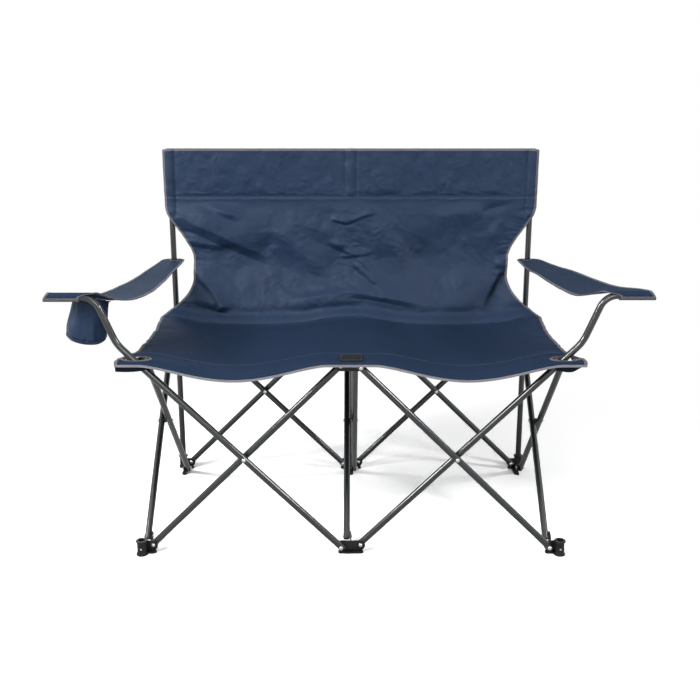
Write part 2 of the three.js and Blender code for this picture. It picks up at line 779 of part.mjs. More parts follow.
function armrestAt(outward) {
  const front = frontPlane + outward * legOffset;
  const rear = postPlane + armrestRearOverhang;
  const top = armHeight + tubeRadius + sleeveGap + clothThickness / 2;
  const sags = outward < 0 ? armrestSags.left : armrestSags.right;
  return (u, v) => {
    const outerShare = throughPoints(armrestOuterShares, armrestOuterNarrowShares, v);
    const innerShare = throughPoints(armrestInnerShares, armrestInnerNarrowShares, v);
    const outer = mix(armrestFrontReach, armrestRearReach, outerShare);
    const inner = mix(armrestFrontInner, armrestRearInner, innerShare);
    const across = outward > 0 ? u : 1 - u;
    const x = outward * mix(inner, outer, across);
    const sag = throughPoints(armrestSagShares, sags, v);
    return new THREE.Vector3(x, mix(front, rear, v), mix(top, armrestRearHeight, v) - sag);
  };
}

function armrestSleeve(outward) {
  const bore = tubeRadius + sleeveGap;
  const front = frontPlane + outward * legOffset;
  const start = armrestFrontReach - armSleeveLength;
  const hull = alongX(bar(bore + clothThickness, tubeSides, armSleeveLength));
  const room = alongX(bar(bore, tubeSides, armSleeveLength - clothThickness + cutOverrun));
  const from = outward > 0 ? start : -armrestFrontReach;
  const roomFrom = outward > 0 ? start - cutOverrun : -armrestFrontReach + clothThickness;
  return { hull: hull.translate(from, front, armHeight), room: room.translate(roomFrom, front, armHeight) };
}

function cupShape(radiusChange, lift, height) {
  const low = cupRadius + radiusChange;
  const mouth = cupMouthRadius + radiusChange;
  const corner = cupCorner + radiusChange;
  const base = arc(low - corner, corner, corner, -Math.PI / 2, 0).map((p) => [p.x, p.y]);
  const bag = turned([[0, 0], ...base, [mouth, height], [0, height]], cupSides);
  bag.translate(0, 0, lift - cupHeight).rotateY(cupTilt);
  return bag.translate(-cupCentreReach, frontPlane + cupCentreDepth, cupBottom + cupHeight);
}

function buildArmrest(column, outward) {
  const at = armrestAt(outward);
  const cloth = sheet(at, armrestColumns, armrestRows, clothThickness);
  const { hull, room } = armrestSleeve(outward);
  const postHole = bar(tubeRadius + legHoleGap, postSides, postHoleReach);
  const cuts = [room, postHole.translate(outward * outerPost, postPlane, armrestRearHeight - postHoleReach / 2)];
  if (outward < 0) cuts.push(cupShape(-cupMouthMargin, cupMouthMargin, cupHeight));
  place(`armrest_${column}`, shaped([cloth, hull], cuts), navyCloth);
}

function buildCupHolder() {
  const at = armrestAt(-1);
  const above = cupHeight / 2 - clothThickness / 2 - clothGap;
  const lid = sheet((u, v) => at(u, v).add(new THREE.Vector3(0, 0, above)), armrestColumns, armrestRows, cupHeight);
  const bag = cupShape(0, 0, cupHeight);
  const room = cupShape(-cupWall, cupWall, cupHeight);
  place("cup_holder", shaped([bag], [room, lid]), navyCloth);
}

for (const row of ["front", "rear"]) {
  for (const column of ["left", "centre", "right"]) buildFoot(row, column);
  buildRow(row);
}
for (const column of ["left", "centre", "right"]) {
  buildHub(column);
  buildCollar(column);
  buildPost(column);
  buildSide(column);
}
buildSeat();
buildBack();
for (const [column, outward] of [["left", -1], ["right", 1]]) {
  buildArmrest(column, outward);
}
buildCupHolder();

export default loveseat;
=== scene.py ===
# %% [markdown]
# A folding camping loveseat, dressed for its portrait.
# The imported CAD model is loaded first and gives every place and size.
# Each cell after it replaces one kind of CAD solid with a finer piece of the same size.
# Everything is in metres, with the sitter facing -Y.
import json
import math
from math import cos, pi, radians, sin

import bmesh
import bpy
from mathutils import Matrix, Vector, noise

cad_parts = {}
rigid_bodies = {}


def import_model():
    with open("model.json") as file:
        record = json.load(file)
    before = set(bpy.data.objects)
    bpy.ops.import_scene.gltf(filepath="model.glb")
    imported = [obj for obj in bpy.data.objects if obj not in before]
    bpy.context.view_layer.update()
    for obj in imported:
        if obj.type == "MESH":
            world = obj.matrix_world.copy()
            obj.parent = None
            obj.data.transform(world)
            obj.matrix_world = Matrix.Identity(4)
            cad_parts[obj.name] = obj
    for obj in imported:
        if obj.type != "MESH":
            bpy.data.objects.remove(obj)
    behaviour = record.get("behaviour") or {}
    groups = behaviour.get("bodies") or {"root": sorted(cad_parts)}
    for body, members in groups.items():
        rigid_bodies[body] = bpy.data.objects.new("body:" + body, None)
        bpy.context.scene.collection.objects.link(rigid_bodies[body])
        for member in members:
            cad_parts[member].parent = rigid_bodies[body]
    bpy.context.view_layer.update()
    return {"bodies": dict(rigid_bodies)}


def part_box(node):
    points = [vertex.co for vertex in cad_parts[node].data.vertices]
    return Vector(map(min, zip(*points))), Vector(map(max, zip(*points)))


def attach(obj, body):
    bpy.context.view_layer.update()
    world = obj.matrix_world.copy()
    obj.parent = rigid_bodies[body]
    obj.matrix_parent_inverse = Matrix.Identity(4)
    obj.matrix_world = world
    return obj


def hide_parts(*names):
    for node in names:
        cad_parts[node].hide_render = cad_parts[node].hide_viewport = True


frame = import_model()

# %% [markdown]
# The steel frame is made of scissor pairs whose legs are 600 mm long between their end rivets.
# The sizes below are the CAD model's own, so that each new piece lies where its solid does.

# %% Sizes of the frame
mm = 0.001
leg_length = 600 * mm
leg_overhang = 6.5 * mm
open_angle = radians(45.4)
low_pivot = 19 * mm
high_pivot = low_pivot + leg_length * cos(open_angle)
crossing = (low_pivot + high_pivot) / 2
inner_pivot = 22 * mm
outer_pivot = inner_pivot + leg_length * sin(open_angle)
side_inset = 46 * mm
side_plane = outer_pivot + 12 * mm
rear_plane = leg_length * sin(open_angle) / 2 + side_inset
front_plane = -rear_plane
leg_offset = 9.3 * mm
tube_radius, tube_wall = 7.5 * mm, 1 * mm
post_x = outer_pivot + 24 * mm
socket_setback = 10 * mm
post_y = rear_plane + socket_setback
sides = {"left": -1, "right": 1}
columns = {"left": -side_plane, "centre": 0.0, "right": side_plane}
rows = {"front": (front_plane, 1), "rear": (rear_plane, -1)}  # where each stands, and the way in from it
print("frame", round(2 * outer_pivot, 4), "wide,", round(2 * rear_plane, 4), "deep")

# %% [markdown]
# Materials come before pieces. Each is named for what the real part is made of.
# One function turns a screen colour into the linear colour that the shader needs, one adds a node
# with its settings and links, one starts a material, and one mottles its colour between two tones.
# The others give bumps to a surface, and tell what the camera and mirrors see from all other light.

# %% Helpers for materials
def linear(hex_colour):
    parts = [int(hex_colour[i:i + 2], 16) / 255 for i in (1, 3, 5)]
    turned = [p / 12.92 if p <= 0.04045 else ((p + 0.055) / 1.055) ** 2.4 for p in parts]
    return (*turned, 1.0)


def add(tree, kind, links=None, **settings):
    node = tree.nodes.new(kind)
    for key, value in settings.items():
        if hasattr(node, key):
            setattr(node, key, value)
        else:
            node.inputs[key.replace("_", " ")].default_value = value
    for key, socket in (links or {}).items():
        tree.links.new(socket, node.inputs[key])
    return node


def new_material(name, **settings):
    material = bpy.data.materials.new(name)
    material.use_nodes = True
    tree = material.node_tree
    shader = tree.nodes["Principled BSDF"]
    for key, value in settings.items():
        shader.inputs[key.replace("_", " ")].default_value = value
    material.diffuse_color = settings["Base_Color"]
    return material, tree, shader


def object_noise(tree, scale, detail=2.0):
    place = add(tree, "ShaderNodeTexCoord").outputs["Object"]
    return add(tree, "ShaderNodeTexNoise", {"Vector": place}, Scale=scale, Detail=detail).outputs["Fac"]


def mottle(tree, shader, dark, light, scale):
    tone = add(tree, "ShaderNodeValToRGB", {"Fac": object_noise(tree, scale)})
    for element, colour in zip(tone.color_ramp.elements, (dark, light)):
        element.color = linear(colour)
    tree.links.new(tone.outputs["Color"], shader.inputs["Base Color"])


def emboss(tree, shader, height, strength, distance):
    bump = add(tree, "ShaderNodeBump", {"Height": height}, Strength=strength, Distance=distance)
    tree.links.new(bump.outputs["Normal"], shader.inputs["Normal"])


def seen_directly(tree):
    """One for rays from the camera and for mirror-like ones, so both see plain white."""
    rays = add(tree, "ShaderNodeLightPath").outputs
    return add(tree, "ShaderNodeMath", {0: rays["Is Camera Ray"], 1: rays["Is Glossy Ray"]}, operation="MAXIMUM")


# %% [markdown]
# The tubes are steel, sprayed with a dark gunmetal enamel that holds fine metal flake.
# Under its clear coat the lamps draw long, crisp bright lines along each tube.

# %% Gunmetal enamel
enamel, tree, shader = new_material(
    "gunmetal_enamel", Base_Color=linear("#2c3032"), Metallic=0.0, Roughness=0.35, Specular_IOR_Level=0.1,
    Coat_Weight=1.0, Coat_IOR=1.55, Coat_Roughness=0.12)
mottle(tree, shader, "#0e1011", "#202426", 900.0)
print("material", enamel.name)

# %% [markdown]
# Feet, hubs and collars are moulded in black glass-filled nylon.
# The mould leaves a fine spark-eroded grain, which breaks the highlight up.

# %% Black moulded nylon
nylon, tree, shader = new_material(
    "moulded_black_nylon", Base_Color=linear("#121213"), Roughness=0.42, IOR=1.53, Specular_IOR_Level=0.25)
mottle(tree, shader, "#0d0d0e", "#19191a", 45.0)
emboss(tree, shader, object_noise(tree, 1400.0, 3.0), 0.2, 0.3 * mm)
print("material", nylon.name)

# %% [markdown]
# Rivets are steel with bright zinc plating: a true metal, so it is all reflection,
# with slight smears of roughness where the press tool closed the head.

# %% Bright zinc plate
zinc, tree, shader = new_material("bright_zinc_plate", Base_Color=linear("#cfd1d3"), Metallic=1.0, Roughness=0.24)
polish = add(tree, "ShaderNodeMapRange", {"Value": object_noise(tree, 420.0)}, To_Min=0.16, To_Max=0.36)
tree.links.new(polish.outputs["Result"], shader.inputs["Roughness"])
print("material", zinc.name)

# %% [markdown]
# The cloth is a navy 600-denier polyester in a plain weave with a thin coating on its back.
# Its threads are about 0.5 mm apart, too fine for this picture, so the weave is drawn at 1.4 mm.
# It is read from the piece's own UV map, whose units are metres, so it follows every fold.
# The back keeps the soft gloss of new coated cloth. Use has rubbed the seat and the armrests matt. Their copy of
# the cloth is also a little darker, and that darker tone is painted shade.

# %% Navy woven polyester
def woven(name, warp, weft, spacing, sheen, depth, gloss=0.5, shine=0.06):
    material, tree, shader = new_material(
        name, Base_Color=linear(warp), Roughness=gloss, Specular_IOR_Level=shine,
        Sheen_Weight=sheen, Sheen_Roughness=0.6)
    cloth = add(tree, "ShaderNodeUVMap", uv_map="cloth").outputs["UV"]
    turns = 1 / spacing / 2
    across, along = (add(tree, "ShaderNodeTexWave", {"Vector": cloth}, bands_direction=axis, Scale=turns,
                         Distortion=0.6, Detail_Scale=40.0) for axis in "XY")
    weave = add(tree, "ShaderNodeMath", {0: across.outputs["Fac"], 1: along.outputs["Fac"]}, operation="MULTIPLY")
    shade = add(tree, "ShaderNodeTexNoise", {"Vector": cloth}, Scale=7.0, Detail=4.0, Roughness=0.6)
    slub = add(tree, "ShaderNodeTexNoise", {"Vector": cloth}, Scale=420.0, Detail=2.0)
    blend = add(tree, "ShaderNodeMath", {0: weave.outputs[0], 1: slub.outputs["Fac"]}, operation="MULTIPLY")
    colour = add(tree, "ShaderNodeMix", {"Factor": blend.outputs[0]}, data_type="RGBA")
    colour.inputs[6].default_value, colour.inputs[7].default_value = linear(warp), linear(weft)
    cloud = add(tree, "ShaderNodeMapRange", {"Value": shade.outputs["Fac"]}, To_Min=0.9, To_Max=1.1)
    hue = add(tree, "ShaderNodeHueSaturation", {"Color": colour.outputs[2], "Value": cloud.outputs["Result"]})
    tree.links.new(hue.outputs["Color"], shader.inputs["Base Color"])
    emboss(tree, shader, weave.outputs[0], depth, 0.4 * mm)
    print("material", name)
    return material


canvas = woven("navy_woven_polyester", "#1b2a40", "#334661", 1.4 * mm, 0.0, 0.3, 0.45, 0.14)
# The seat's and armrests' copy: matt from wear, and a little darker in colour as painted shade.
rubbed_canvas_painted_shade = woven("rubbed_navy_polyester", "#1b283c", "#32435c", 1.4 * mm, 0.0, 0.3, 0.7, 0.05)
# The flaps' cloth is the same navy, drawn much darker as painted shade for the shadow under the seat's corners.
flap_cloth_painted_shade = woven("dark_navy_lining", "#0a0f18", "#151c2b", 1.4 * mm, 0.0, 0.3)

# %% [markdown]
# Every edge is bound with grosgrain tape in a mid grey, folded over it and sewn down.
# The tape is ribbed across its width, and the seat's front edge has a paler one.

# %% Grey binding tapes, black webbing and thread
tape = woven("grey_grosgrain_tape", "#5d5c61", "#7e7d83", 1.6 * mm, 0.02, 0.6, 0.7)
front_tape = woven("pale_grey_grosgrain_tape", "#7c7b82", "#a09fa6", 1.6 * mm, 0.02, 0.6, 0.7)
webbing = woven("black_polyester_webbing", "#121214", "#2c2c30", 2.4 * mm, 0.02, 0.9, 0.6)
thread, _, _ = new_material("navy_bonded_thread", Base_Color=linear("#46597a"), Roughness=0.55, Sheen_Weight=0.3)

# %% [markdown]
# Small helpers finish a piece. One turns a bmesh into an object at the origin that rides on its body. One spins
# a profile about the Z axis, for all turned and domed shapes. One gives a flat outline its thickness and rounds
# its rim, for moulded plates. The rest place, count and clamp things.

# %% Helpers for making pieces
def piece(name, bm, material, body, slot, *nodes, crease=40, merge=1e-6, outward=True):
    bmesh.ops.remove_doubles(bm, verts=bm.verts, dist=merge)
    if outward:
        bmesh.ops.recalc_face_normals(bm, faces=bm.faces)
    for face in bm.faces:
        face.smooth = True
    for edge in bm.edges:
        edge.smooth = len(edge.link_faces) == 2 and edge.calc_face_angle(0) < radians(crease)
    mesh = bpy.data.meshes.new(name)
    bm.to_mesh(mesh)
    bm.free()
    mesh.materials.append(material)
    obj = linked(name, mesh)
    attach(obj, body)
    if nodes:
        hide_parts(*nodes)
    return obj


def linked(name, data):
    obj = bpy.data.objects.new(name, data)
    bpy.context.scene.collection.objects.link(obj)
    return obj


def named(*starts):
    return [o for o in bpy.data.objects if o.name.startswith(starts)]


def clamp(value):
    return min(max(value, 0), 1)


def scaled(points):
    """A profile written in millimetres, in metres."""
    return [(a * mm, b * mm) for a, b in points]


def aimed(middle, direction):
    """The matrix that carries the Z axis to a place and a direction."""
    return Matrix.Translation(middle) @ direction.to_track_quat("Z", "Y").to_matrix().to_4x4()


def moved(x=0.0, y=0.0, z=0.0):
    return Matrix.Translation((x, y, z))


def vertices(geom):
    return [g for g in geom if isinstance(g, bmesh.types.BMVert)]


def turned(bm, profile, matrix, steps=32):
    fresh = bmesh.new()
    points = [fresh.verts.new((r, 0, z)) for r, z in profile]
    edges = [fresh.edges.new(pair) for pair in zip(points, points[1:])]
    spin_round(fresh, points + edges, steps)
    bmesh.ops.transform(fresh, matrix=matrix, verts=fresh.verts)
    bmesh.ops.recalc_face_normals(fresh, faces=fresh.faces)
    join(bm, fresh)


def spun(name, profile, matrix, steps, material, body, slot, *nodes):
    """A piece that is one turned shape."""
    bm = bmesh.new()
    turned(bm, profile, matrix, steps)
    piece(name, bm, material, body, slot, *nodes)


def spin_round(bm, geom, steps):
    bmesh.ops.spin(bm, geom=geom, cent=(0, 0, 0), axis=(0, 0, 1), angle=2 * pi, steps=steps, use_merge=True)
    bmesh.ops.remove_doubles(bm, verts=bm.verts, dist=1e-6)


def join(bm, fresh):
    mesh = bpy.data.meshes.new("part")
    fresh.to_mesh(mesh)
    fresh.free()
    bm.from_mesh(mesh)
    bpy.data.meshes.remove(mesh)


def slab(bm, outline, thickness, matrix, rim=0.5 * mm):
    fresh = bmesh.new()
    face = fresh.faces.new([fresh.verts.new((x, y, -thickness / 2)) for x, y in outline])
    lifted = bmesh.ops.extrude_face_region(fresh, geom=[face])["geom"]
    bmesh.ops.translate(fresh, vec=(0, 0, thickness), verts=vertices(lifted))
    bmesh.ops.recalc_face_normals(fresh, faces=fresh.faces)
    caps = [f for f in fresh.faces if len(f.verts) == len(outline)]
    rims = {e for f in caps for e in f.edges}
    bmesh.ops.bevel(fresh, geom=list(rims), offset=rim, segments=2, profile=0.5, affect="EDGES", material=-1)
    bmesh.ops.transform(fresh, matrix=matrix, verts=fresh.verts)
    join(bm, fresh)


def arc(x, y, radius, start, end, steps=8):
    angles = [start + (end - start) * i / steps for i in range(steps + 1)]
    return [(x + radius * cos(a), y + radius * sin(a)) for a in angles]


quarter = [pi / 2 * i / 6 for i in range(7)]
upright_x = Matrix(((1, 0, 0, 0), (0, 0, -1, 0), (0, 1, 0, 0), (0, 0, 0, 1)))
upright_y = Matrix(((0, 0, 1, 0), (1, 0, 0, 0), (0, 1, 0, 0), (0, 0, 0, 1)))

# %% [markdown]
# A leg is a round tube, so it is made as one: a flat ring is pulled along the tube's line, and spun about
# the centre of each bend. That keeps the wall even through the bends, as a tube bender does.
# The open ends show their 1 mm wall.

# %% Pull and bend a tube
def ring(bm, start, heading):
    for radius in (tube_radius, tube_radius - tube_wall):
        bmesh.ops.create_circle(bm, segments=32, radius=radius, matrix=aimed(start, heading))
    return bmesh.ops.bridge_loops(bm, edges=bm.edges[:])["faces"]


def pull(bm, faces, vector):
    fresh = bmesh.ops.extrude_face_region(bm, geom=faces)["geom"]
    bmesh.ops.translate(bm, vec=vector, verts=vertices(fresh))
    return [g for g in fresh if isinstance(g, bmesh.types.BMFace)]


def bend(bm, faces, centre, angle):
    """Spin the end of a tube about an axis along Y."""
    geom = faces + list({e for f in faces for e in f.edges}) + list({v for f in faces for v in f.verts})
    last = bmesh.ops.spin(bm, geom=geom, cent=centre, axis=(0, 1, 0), angle=angle, steps=12, dvec=(0, 0, 0))
    return [g for g in last["geom_last"] if isinstance(g, bmesh.types.BMFace)]


def leg(name, body, low, heading):
    bm = bmesh.new()
    pull(bm, ring(bm, low - heading * leg_overhang, heading), heading * (leg_length + 2 * leg_overhang))
    piece("tube_" + name, bm, enamel, body, "enamel", name)


# %% The twelve straight legs
slant = lambda x, y: Vector((x * sin(open_angle), y * sin(open_angle), cos(open_angle)))
for side, out in sides.items():
    low = Vector((out * inner_pivot, rear_plane + out * leg_offset, low_pivot))
    leg(f"rear_{side}_rising_leg", f"rear_{side}_rising", low, slant(out, 0))
    for row, (plane, _) in (("rear", rows["rear"]), ("front", rows["front"])):
        low = Vector((out * outer_pivot, plane - out * leg_offset, low_pivot))
        leg(f"{row}_{side}_crossing_leg", f"{row}_{side}_crossing", low, slant(-out, 0))
for column, x in columns.items():
    low = Vector((x + leg_offset, rear_plane - side_inset, low_pivot))
    leg(f"side_{column}_forward_leg", f"side_{column}_forward", low, slant(0, -1))
    low = Vector((x - leg_offset, front_plane + side_inset, low_pivot))
    leg(f"side_{column}_backward_leg", f"side_{column}_backward", low, slant(0, 1))
print("straight legs", len(named("tube_")))

# %% [markdown]
# The two arm legs run on above their hubs. They stand up more steeply after a wide bend,
# then turn level through a tighter one, and their ends carry the armrests.

# %% The two arm legs
arm_rise = radians(22.5)
arm_height = 594 * mm
arm_reach = 640 * mm
low_radius, high_radius = 90 * mm, 40 * mm
bend_start = 73 * mm


def towards(out, angle):
    return Vector((out * sin(angle), 0, cos(angle)))


for side, out in sides.items():
    foot = Vector((out * inner_pivot, front_plane + out * leg_offset, low_pivot))
    steep, rise = towards(out, open_angle), towards(out, arm_rise)
    low_corner = foot + steep * (leg_length + bend_start)
    high_corner = low_corner + rise * ((arm_height - low_corner.z) / rise.z)
    low_cut = low_radius * math.tan((open_angle - arm_rise) / 2)
    high_cut = high_radius * math.tan((pi / 2 - arm_rise) / 2)
    bm = bmesh.new()
    end = ring(bm, foot - steep * leg_overhang, steep)
    end = pull(bm, end, low_corner - steep * low_cut - foot + steep * leg_overhang)
    centre = low_corner - steep * low_cut + towards(out, open_angle - pi / 2) * low_radius
    end = bend(bm, end, centre, out * (arm_rise - open_angle))
    end = pull(bm, end, high_corner - rise * high_cut - low_corner - rise * low_cut)
    centre = high_corner - rise * high_cut + towards(out, arm_rise + pi / 2) * high_radius
    end = bend(bm, end, centre, out * (pi / 2 - arm_rise))
    pull(bm, end, Vector((out * arm_reach - high_corner.x - out * high_cut, 0, 0)))
    piece(f"tube_front_{side}_rising_leg", bm, enamel, f"front_{side}_arm", "enamel", f"front_{side}_rising_leg")
    print("arm", side, "bends at", [round(v, 4) for v in low_corner], [round(v, 4) for v in high_corner])

# %% [markdown]
# Three posts stand in the rear feet and carry the back. A black cap closes each top.

# %% Posts and caps
post_bodies = {"left": "rear_left_base", "centre": "rear_centre_base", "right": "rear_right_base"}
post_xs = {"left": -post_x, "centre": 0.0, "right": post_x}
post_top, post_low, plug_length = 878 * mm, 6 * mm, 12 * mm
for column, body in post_bodies.items():
    bm = bmesh.new()
    start = ring(bm, Vector((post_xs[column], post_y, post_low)), Vector((0, 0, 1)))
    pull(bm, start, (0, 0, post_top - post_low))
    piece(f"tube_rear_{column}_post", bm, enamel, body, "enamel", f"rear_{column}_post")
    dome = [(7.4 * cos(a) * mm, post_top + (0.6 + 2.3 * sin(a)) * mm) for a in quarter]
    plug = [(0, post_top - plug_length), (6.1 * mm, post_top - plug_length), (6.1 * mm, post_top + 0.3 * mm)]
    shoulder, crown = [(7.4 * mm, post_top + 0.3 * mm)], [(0, post_top + 2.9 * mm)]
    spun(f"cap_{column}", plug + shoulder + dome[:-1] + crown, moved(post_xs[column], post_y), 32,
         nylon, body, "plastic", f"rear_{column}_post_cap")
print("posts to", post_top)

# %% [markdown]
# A rivet is a short pin with a domed head pressed at both ends. Each head is a spun quarter round with a
# small flat rim, and the crossings also have a black washer that keeps the two tubes apart.

# %% Rivets
head_radius, head_height = 4.5 * mm, 2.2 * mm
pin_radius = 2 * mm


def rivet(bm, middle, direction, low, high):
    dome = [(head_radius * cos(a), head_height * (0.15 + 0.85 * sin(a))) for a in quarter]
    top = [(r, high + z) for r, z in dome[:-1]] + [(0, high + head_height)]
    bottom = [(0, low - head_height)] + [(r, low - z) for r, z in reversed(dome[:-1])]
    pin = [(head_radius, low), (pin_radius, low), (pin_radius, high), (head_radius, high)]
    turned(bm, bottom + pin + top, aimed(middle, direction), 24)


ear_side, leg_side = 1.8 * mm, leg_offset + tube_radius + 0.3 * mm  # where the two heads of a rivet lie
# the pivots in a row's plane, by column: name, place, and the side of the ear on which the leg lies
pivots = {
    "left": [("cross", -outer_pivot, 1)],
    "centre": [("left", -inner_pivot, -1), ("right", inner_pivot, 1)],
    "right": [("cross", outer_pivot, -1)],
}
corners = [(row, column, *rows[row]) for row in rows for column in columns]
for row, column, plane, inward in corners:
    foot, body = f"{row}_{column}_foot", f"{row}_{column}_base"
    for label, x, face in pivots[column]:
        bm = bmesh.new()
        rivet(bm, Vector((x, plane, low_pivot)), Vector((0, face, 0)), -ear_side, leg_side)
        piece(f"rivet_{foot}_{label}", bm, zinc, body, "zinc", f"{foot}_rivet_{label}")
    bm = bmesh.new()
    middle = Vector((columns[column], plane + inward * side_inset, low_pivot))
    rivet(bm, middle, Vector((-inward, 0, 0)), -ear_side, leg_side)
    piece(f"rivet_{foot}_side", bm, zinc, body, "zinc", f"{foot}_rivet_side")


washer = scaled([(2.1, -1.5), (5.6, -1.5), (6, 0), (5.6, 1.5), (2.1, 1.5)])


def crossing_rivet(name, body, middle, direction):
    bm = bmesh.new()
    rivet(bm, middle, direction, -leg_side, leg_side)
    piece("rivet_" + name, bm, zinc, body, "zinc", name)
    spun("washer_" + name, washer, aimed(middle, direction), 24, nylon, body, "plastic")


middle_x = (inner_pivot + outer_pivot) / 2
along_x, along_y = Vector((1, 0, 0)), Vector((0, 1, 0))
for side, out in sides.items():
    for row, body in (("front", f"front_{side}_arm"), ("rear", f"rear_{side}_rising")):
        middle = Vector((out * middle_x, rows[row][0], crossing))
        crossing_rivet(f"{row}_{side}_crossing_rivet", body, middle, along_y)
for column, x in columns.items():
    crossing_rivet(f"side_{column}_crossing_rivet", f"side_{column}_forward", Vector((x, 0, crossing)), along_x)
print("rivets", len(named("rivet_")))

# %% [markdown]
# The moulded brackets are thin plates, called ears, that stand in the two planes of the legs. A foot adds a
# flat pad and a socket like a spool. A collar adds a ring that slides on its post.
# Each ear is drawn as an outline, thickened, and given a rounded rim.

# %% Outlines of the ears
ear_radius, ear_thickness = 11 * mm, 3 * mm
web_drop, web_reach, web_round = 2.5 * mm, 15 * mm, 3 * mm


def ear_end(root, pivot, height, toe):
    way = 1 if pivot > root else -1
    start = -pi / 2 if toe is None else -pi / 6
    points = [(pivot + way * x, height + y) for x, y in arc(0, 0, ear_radius, start, pi / 2, 10)]
    return points if toe is None else [(pivot, toe)] + points


def ear(root, pivot, height, toe, web=None):
    foot = height - ear_radius if toe is None else toe
    top = height + ear_radius
    points = ear_end(root, pivot, height, toe)
    if web is not None:
        way = 1 if pivot > root else -1
        end, top = pivot - way * web_reach, height - web
        points += [(end + way * web_round * (1 - sin(a)), top + web_round * (1 - cos(a)))
                   for a in (pi / 2, pi / 4, 0)]
    return points + [(root, top), (root, foot)]


def bracket(bm, column, plane, inward, height, toe):
    x = columns[column]
    if column == "centre":
        right, left = ear_end(0, inner_pivot, height, toe), ear_end(0, -inner_pivot, height, toe)
        outline = right + left[::-1]
    else:
        way = sides[column]
        outline = ear(x + way * ear_thickness / 2, way * outer_pivot, height, toe)
    slab(bm, outline, ear_thickness, moved(y=plane) @ upright_x)
    side = ear(0, inward * side_inset, height, toe, web_drop)
    slab(bm, side, ear_thickness, moved(x, plane) @ upright_y)


def stadium(start, end, radius):
    way = math.atan2(end[1] - start[1], end[0] - start[0])
    return (arc(*start, radius, way + pi / 2, way + 3 * pi / 2, 10)
            + arc(*end, radius, way - pi / 2, way + pi / 2, 10))


# %% The six feet
pad_thickness, pad_radius, pad_rim, toe_height = 5 * mm, 7 * mm, 1 * mm, 0.4 * mm
plate_low, plate_high = 0.5 * mm, 31 * mm
socket_spool = scaled([
    (0, 0.3), (12.2, 0.3), (12.8, 1), (12.8, 4.2), (12.4, 5), (11, 5.6), (10.5, 7), (10.5, 29.5), (11, 31.4),
    (12.4, 32.2), (12.8, 32.8), (12.8, 35.2), (12.2, 36), (8.6, 36), (7.9, 35.2), (7.9, 6), (0, 6)])


def plate(bm, x0, x1, z0, z1, plane):
    """A flat plate that joins a socket or collar to its ear."""
    slab(bm, [(x0, z0), (x1, z0), (x1, z1), (x0, z1)], ear_thickness, moved(y=plane) @ upright_x)


for row, column, plane, inward in corners:
    foot, x = f"{row}_{column}_foot", columns[column]
    bm = bmesh.new()
    bracket(bm, column, plane, inward, low_pivot, toe_height)
    flat = moved(0, plane, pad_thickness / 2)
    ends = [x] + [entry[1] for entry in pivots[column]]
    pads = [((min(ends), 0), (max(ends), 0)), ((x, 0), (x, inward * side_inset))]
    if foot != "front_centre_foot":
        socket_x, socket_y = post_xs[column], -inward * socket_setback
        turned(bm, socket_spool, moved(socket_x, plane + socket_y), 48)
        if column != "centre":
            pads.append(((x, 0), (socket_x, socket_y)))
            plate(bm, *sorted((x, socket_x)), plate_low, plate_high, plane)
    for start, end in pads:
        slab(bm, stadium(start, end, pad_radius), pad_thickness, flat, pad_rim)
    piece(f"moulded_{foot}", bm, nylon, f"{row}_{column}_base", "plastic", foot)
print("feet", len(named("moulded_")))

# %% [markdown]
# A small screw on the outward face of each outer socket holds the post. It is only a few millimetres wide,
# but it is what catches the light on a foot.

# %% Screws in the sockets
screw_reach, screw_height = 20.3 * mm, 17 * mm
screw = scaled([(0, 0.3), (0.9, 0.3), (1.1, 0.8), (2, 0.7), (2.4, 0.2), (2.4, -1), (0, -1)])
for side, out in sides.items():
    for row, (plane, inward) in rows.items():
        here = moved(out * post_x, plane - inward * screw_reach, screw_height)
        outward = here @ Matrix.Rotation(inward * pi / 2, 4, "X")
        spun(f"screw_{row}_{side}", screw, outward, 20, zinc, f"{row}_{side}_base", "zinc")
print("screws", len(named("screw_")))

# %% [markdown]
# The front hubs carry the corners of the seat on a low boss. The rear collars slide on the posts.
# In the CAD model their rivets are one solid with them, so here they get pieces and metal of their own.

# %% Hubs and collars
boss_inset, boss_radius, collar_half = 27 * mm, 7 * mm, 15 * mm
collar_bore, collar_rim, collar_radius, collar_bite = 8.1 * mm, 9.9 * mm, 10.5 * mm, 8.5 * mm
for row, column, plane, inward in corners:
    kind, mount = ("hub", "top") if row == "front" else ("collar", "slide")
    node, body = f"{row}_{column}_{kind}", f"{row}_{column}_{mount}"
    x = columns[column]
    bm = bmesh.new()
    bracket(bm, column, plane, inward, high_pivot, None)
    if row == "front":
        low, high = high_pivot - ear_radius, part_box(node)[1].z
        boss = [(0, low), (boss_radius, low), (boss_radius, high - 1 * mm), (boss_radius - 1 * mm, high), (0, high)]
        turned(bm, boss, moved(x, plane + boss_inset))
    else:
        low, high = high_pivot - collar_half, high_pivot + collar_half
        collar = [(collar_bore, low), (collar_rim, low), (collar_radius, low + 1 * mm),
                  (collar_radius, high - 1 * mm), (collar_rim, high), (collar_bore, high), (collar_bore, low)]
        turned(bm, collar, moved(post_xs[column], post_y), 48)
        if column != "centre":
            ends = sorted((x, post_xs[column] - math.copysign(collar_bite, x)))
            plate(bm, *ends, high_pivot - ear_radius, high_pivot + ear_radius, plane)
    piece(f"moulded_{node}", bm, nylon, body, "plastic", node)
    bm = bmesh.new()
    for _, pivot, face in pivots[column]:
        rivet(bm, Vector((pivot, plane, high_pivot)), Vector((0, -face, 0)), -ear_side, leg_side)
    middle = Vector((x, plane + inward * side_inset, high_pivot))
    rivet(bm, middle, Vector((inward, 0, 0)), -ear_side, leg_side)
    piece(f"rivets_{node}", bm, zinc, body, "zinc")
print("hubs and collars", len(named("rivets_")))

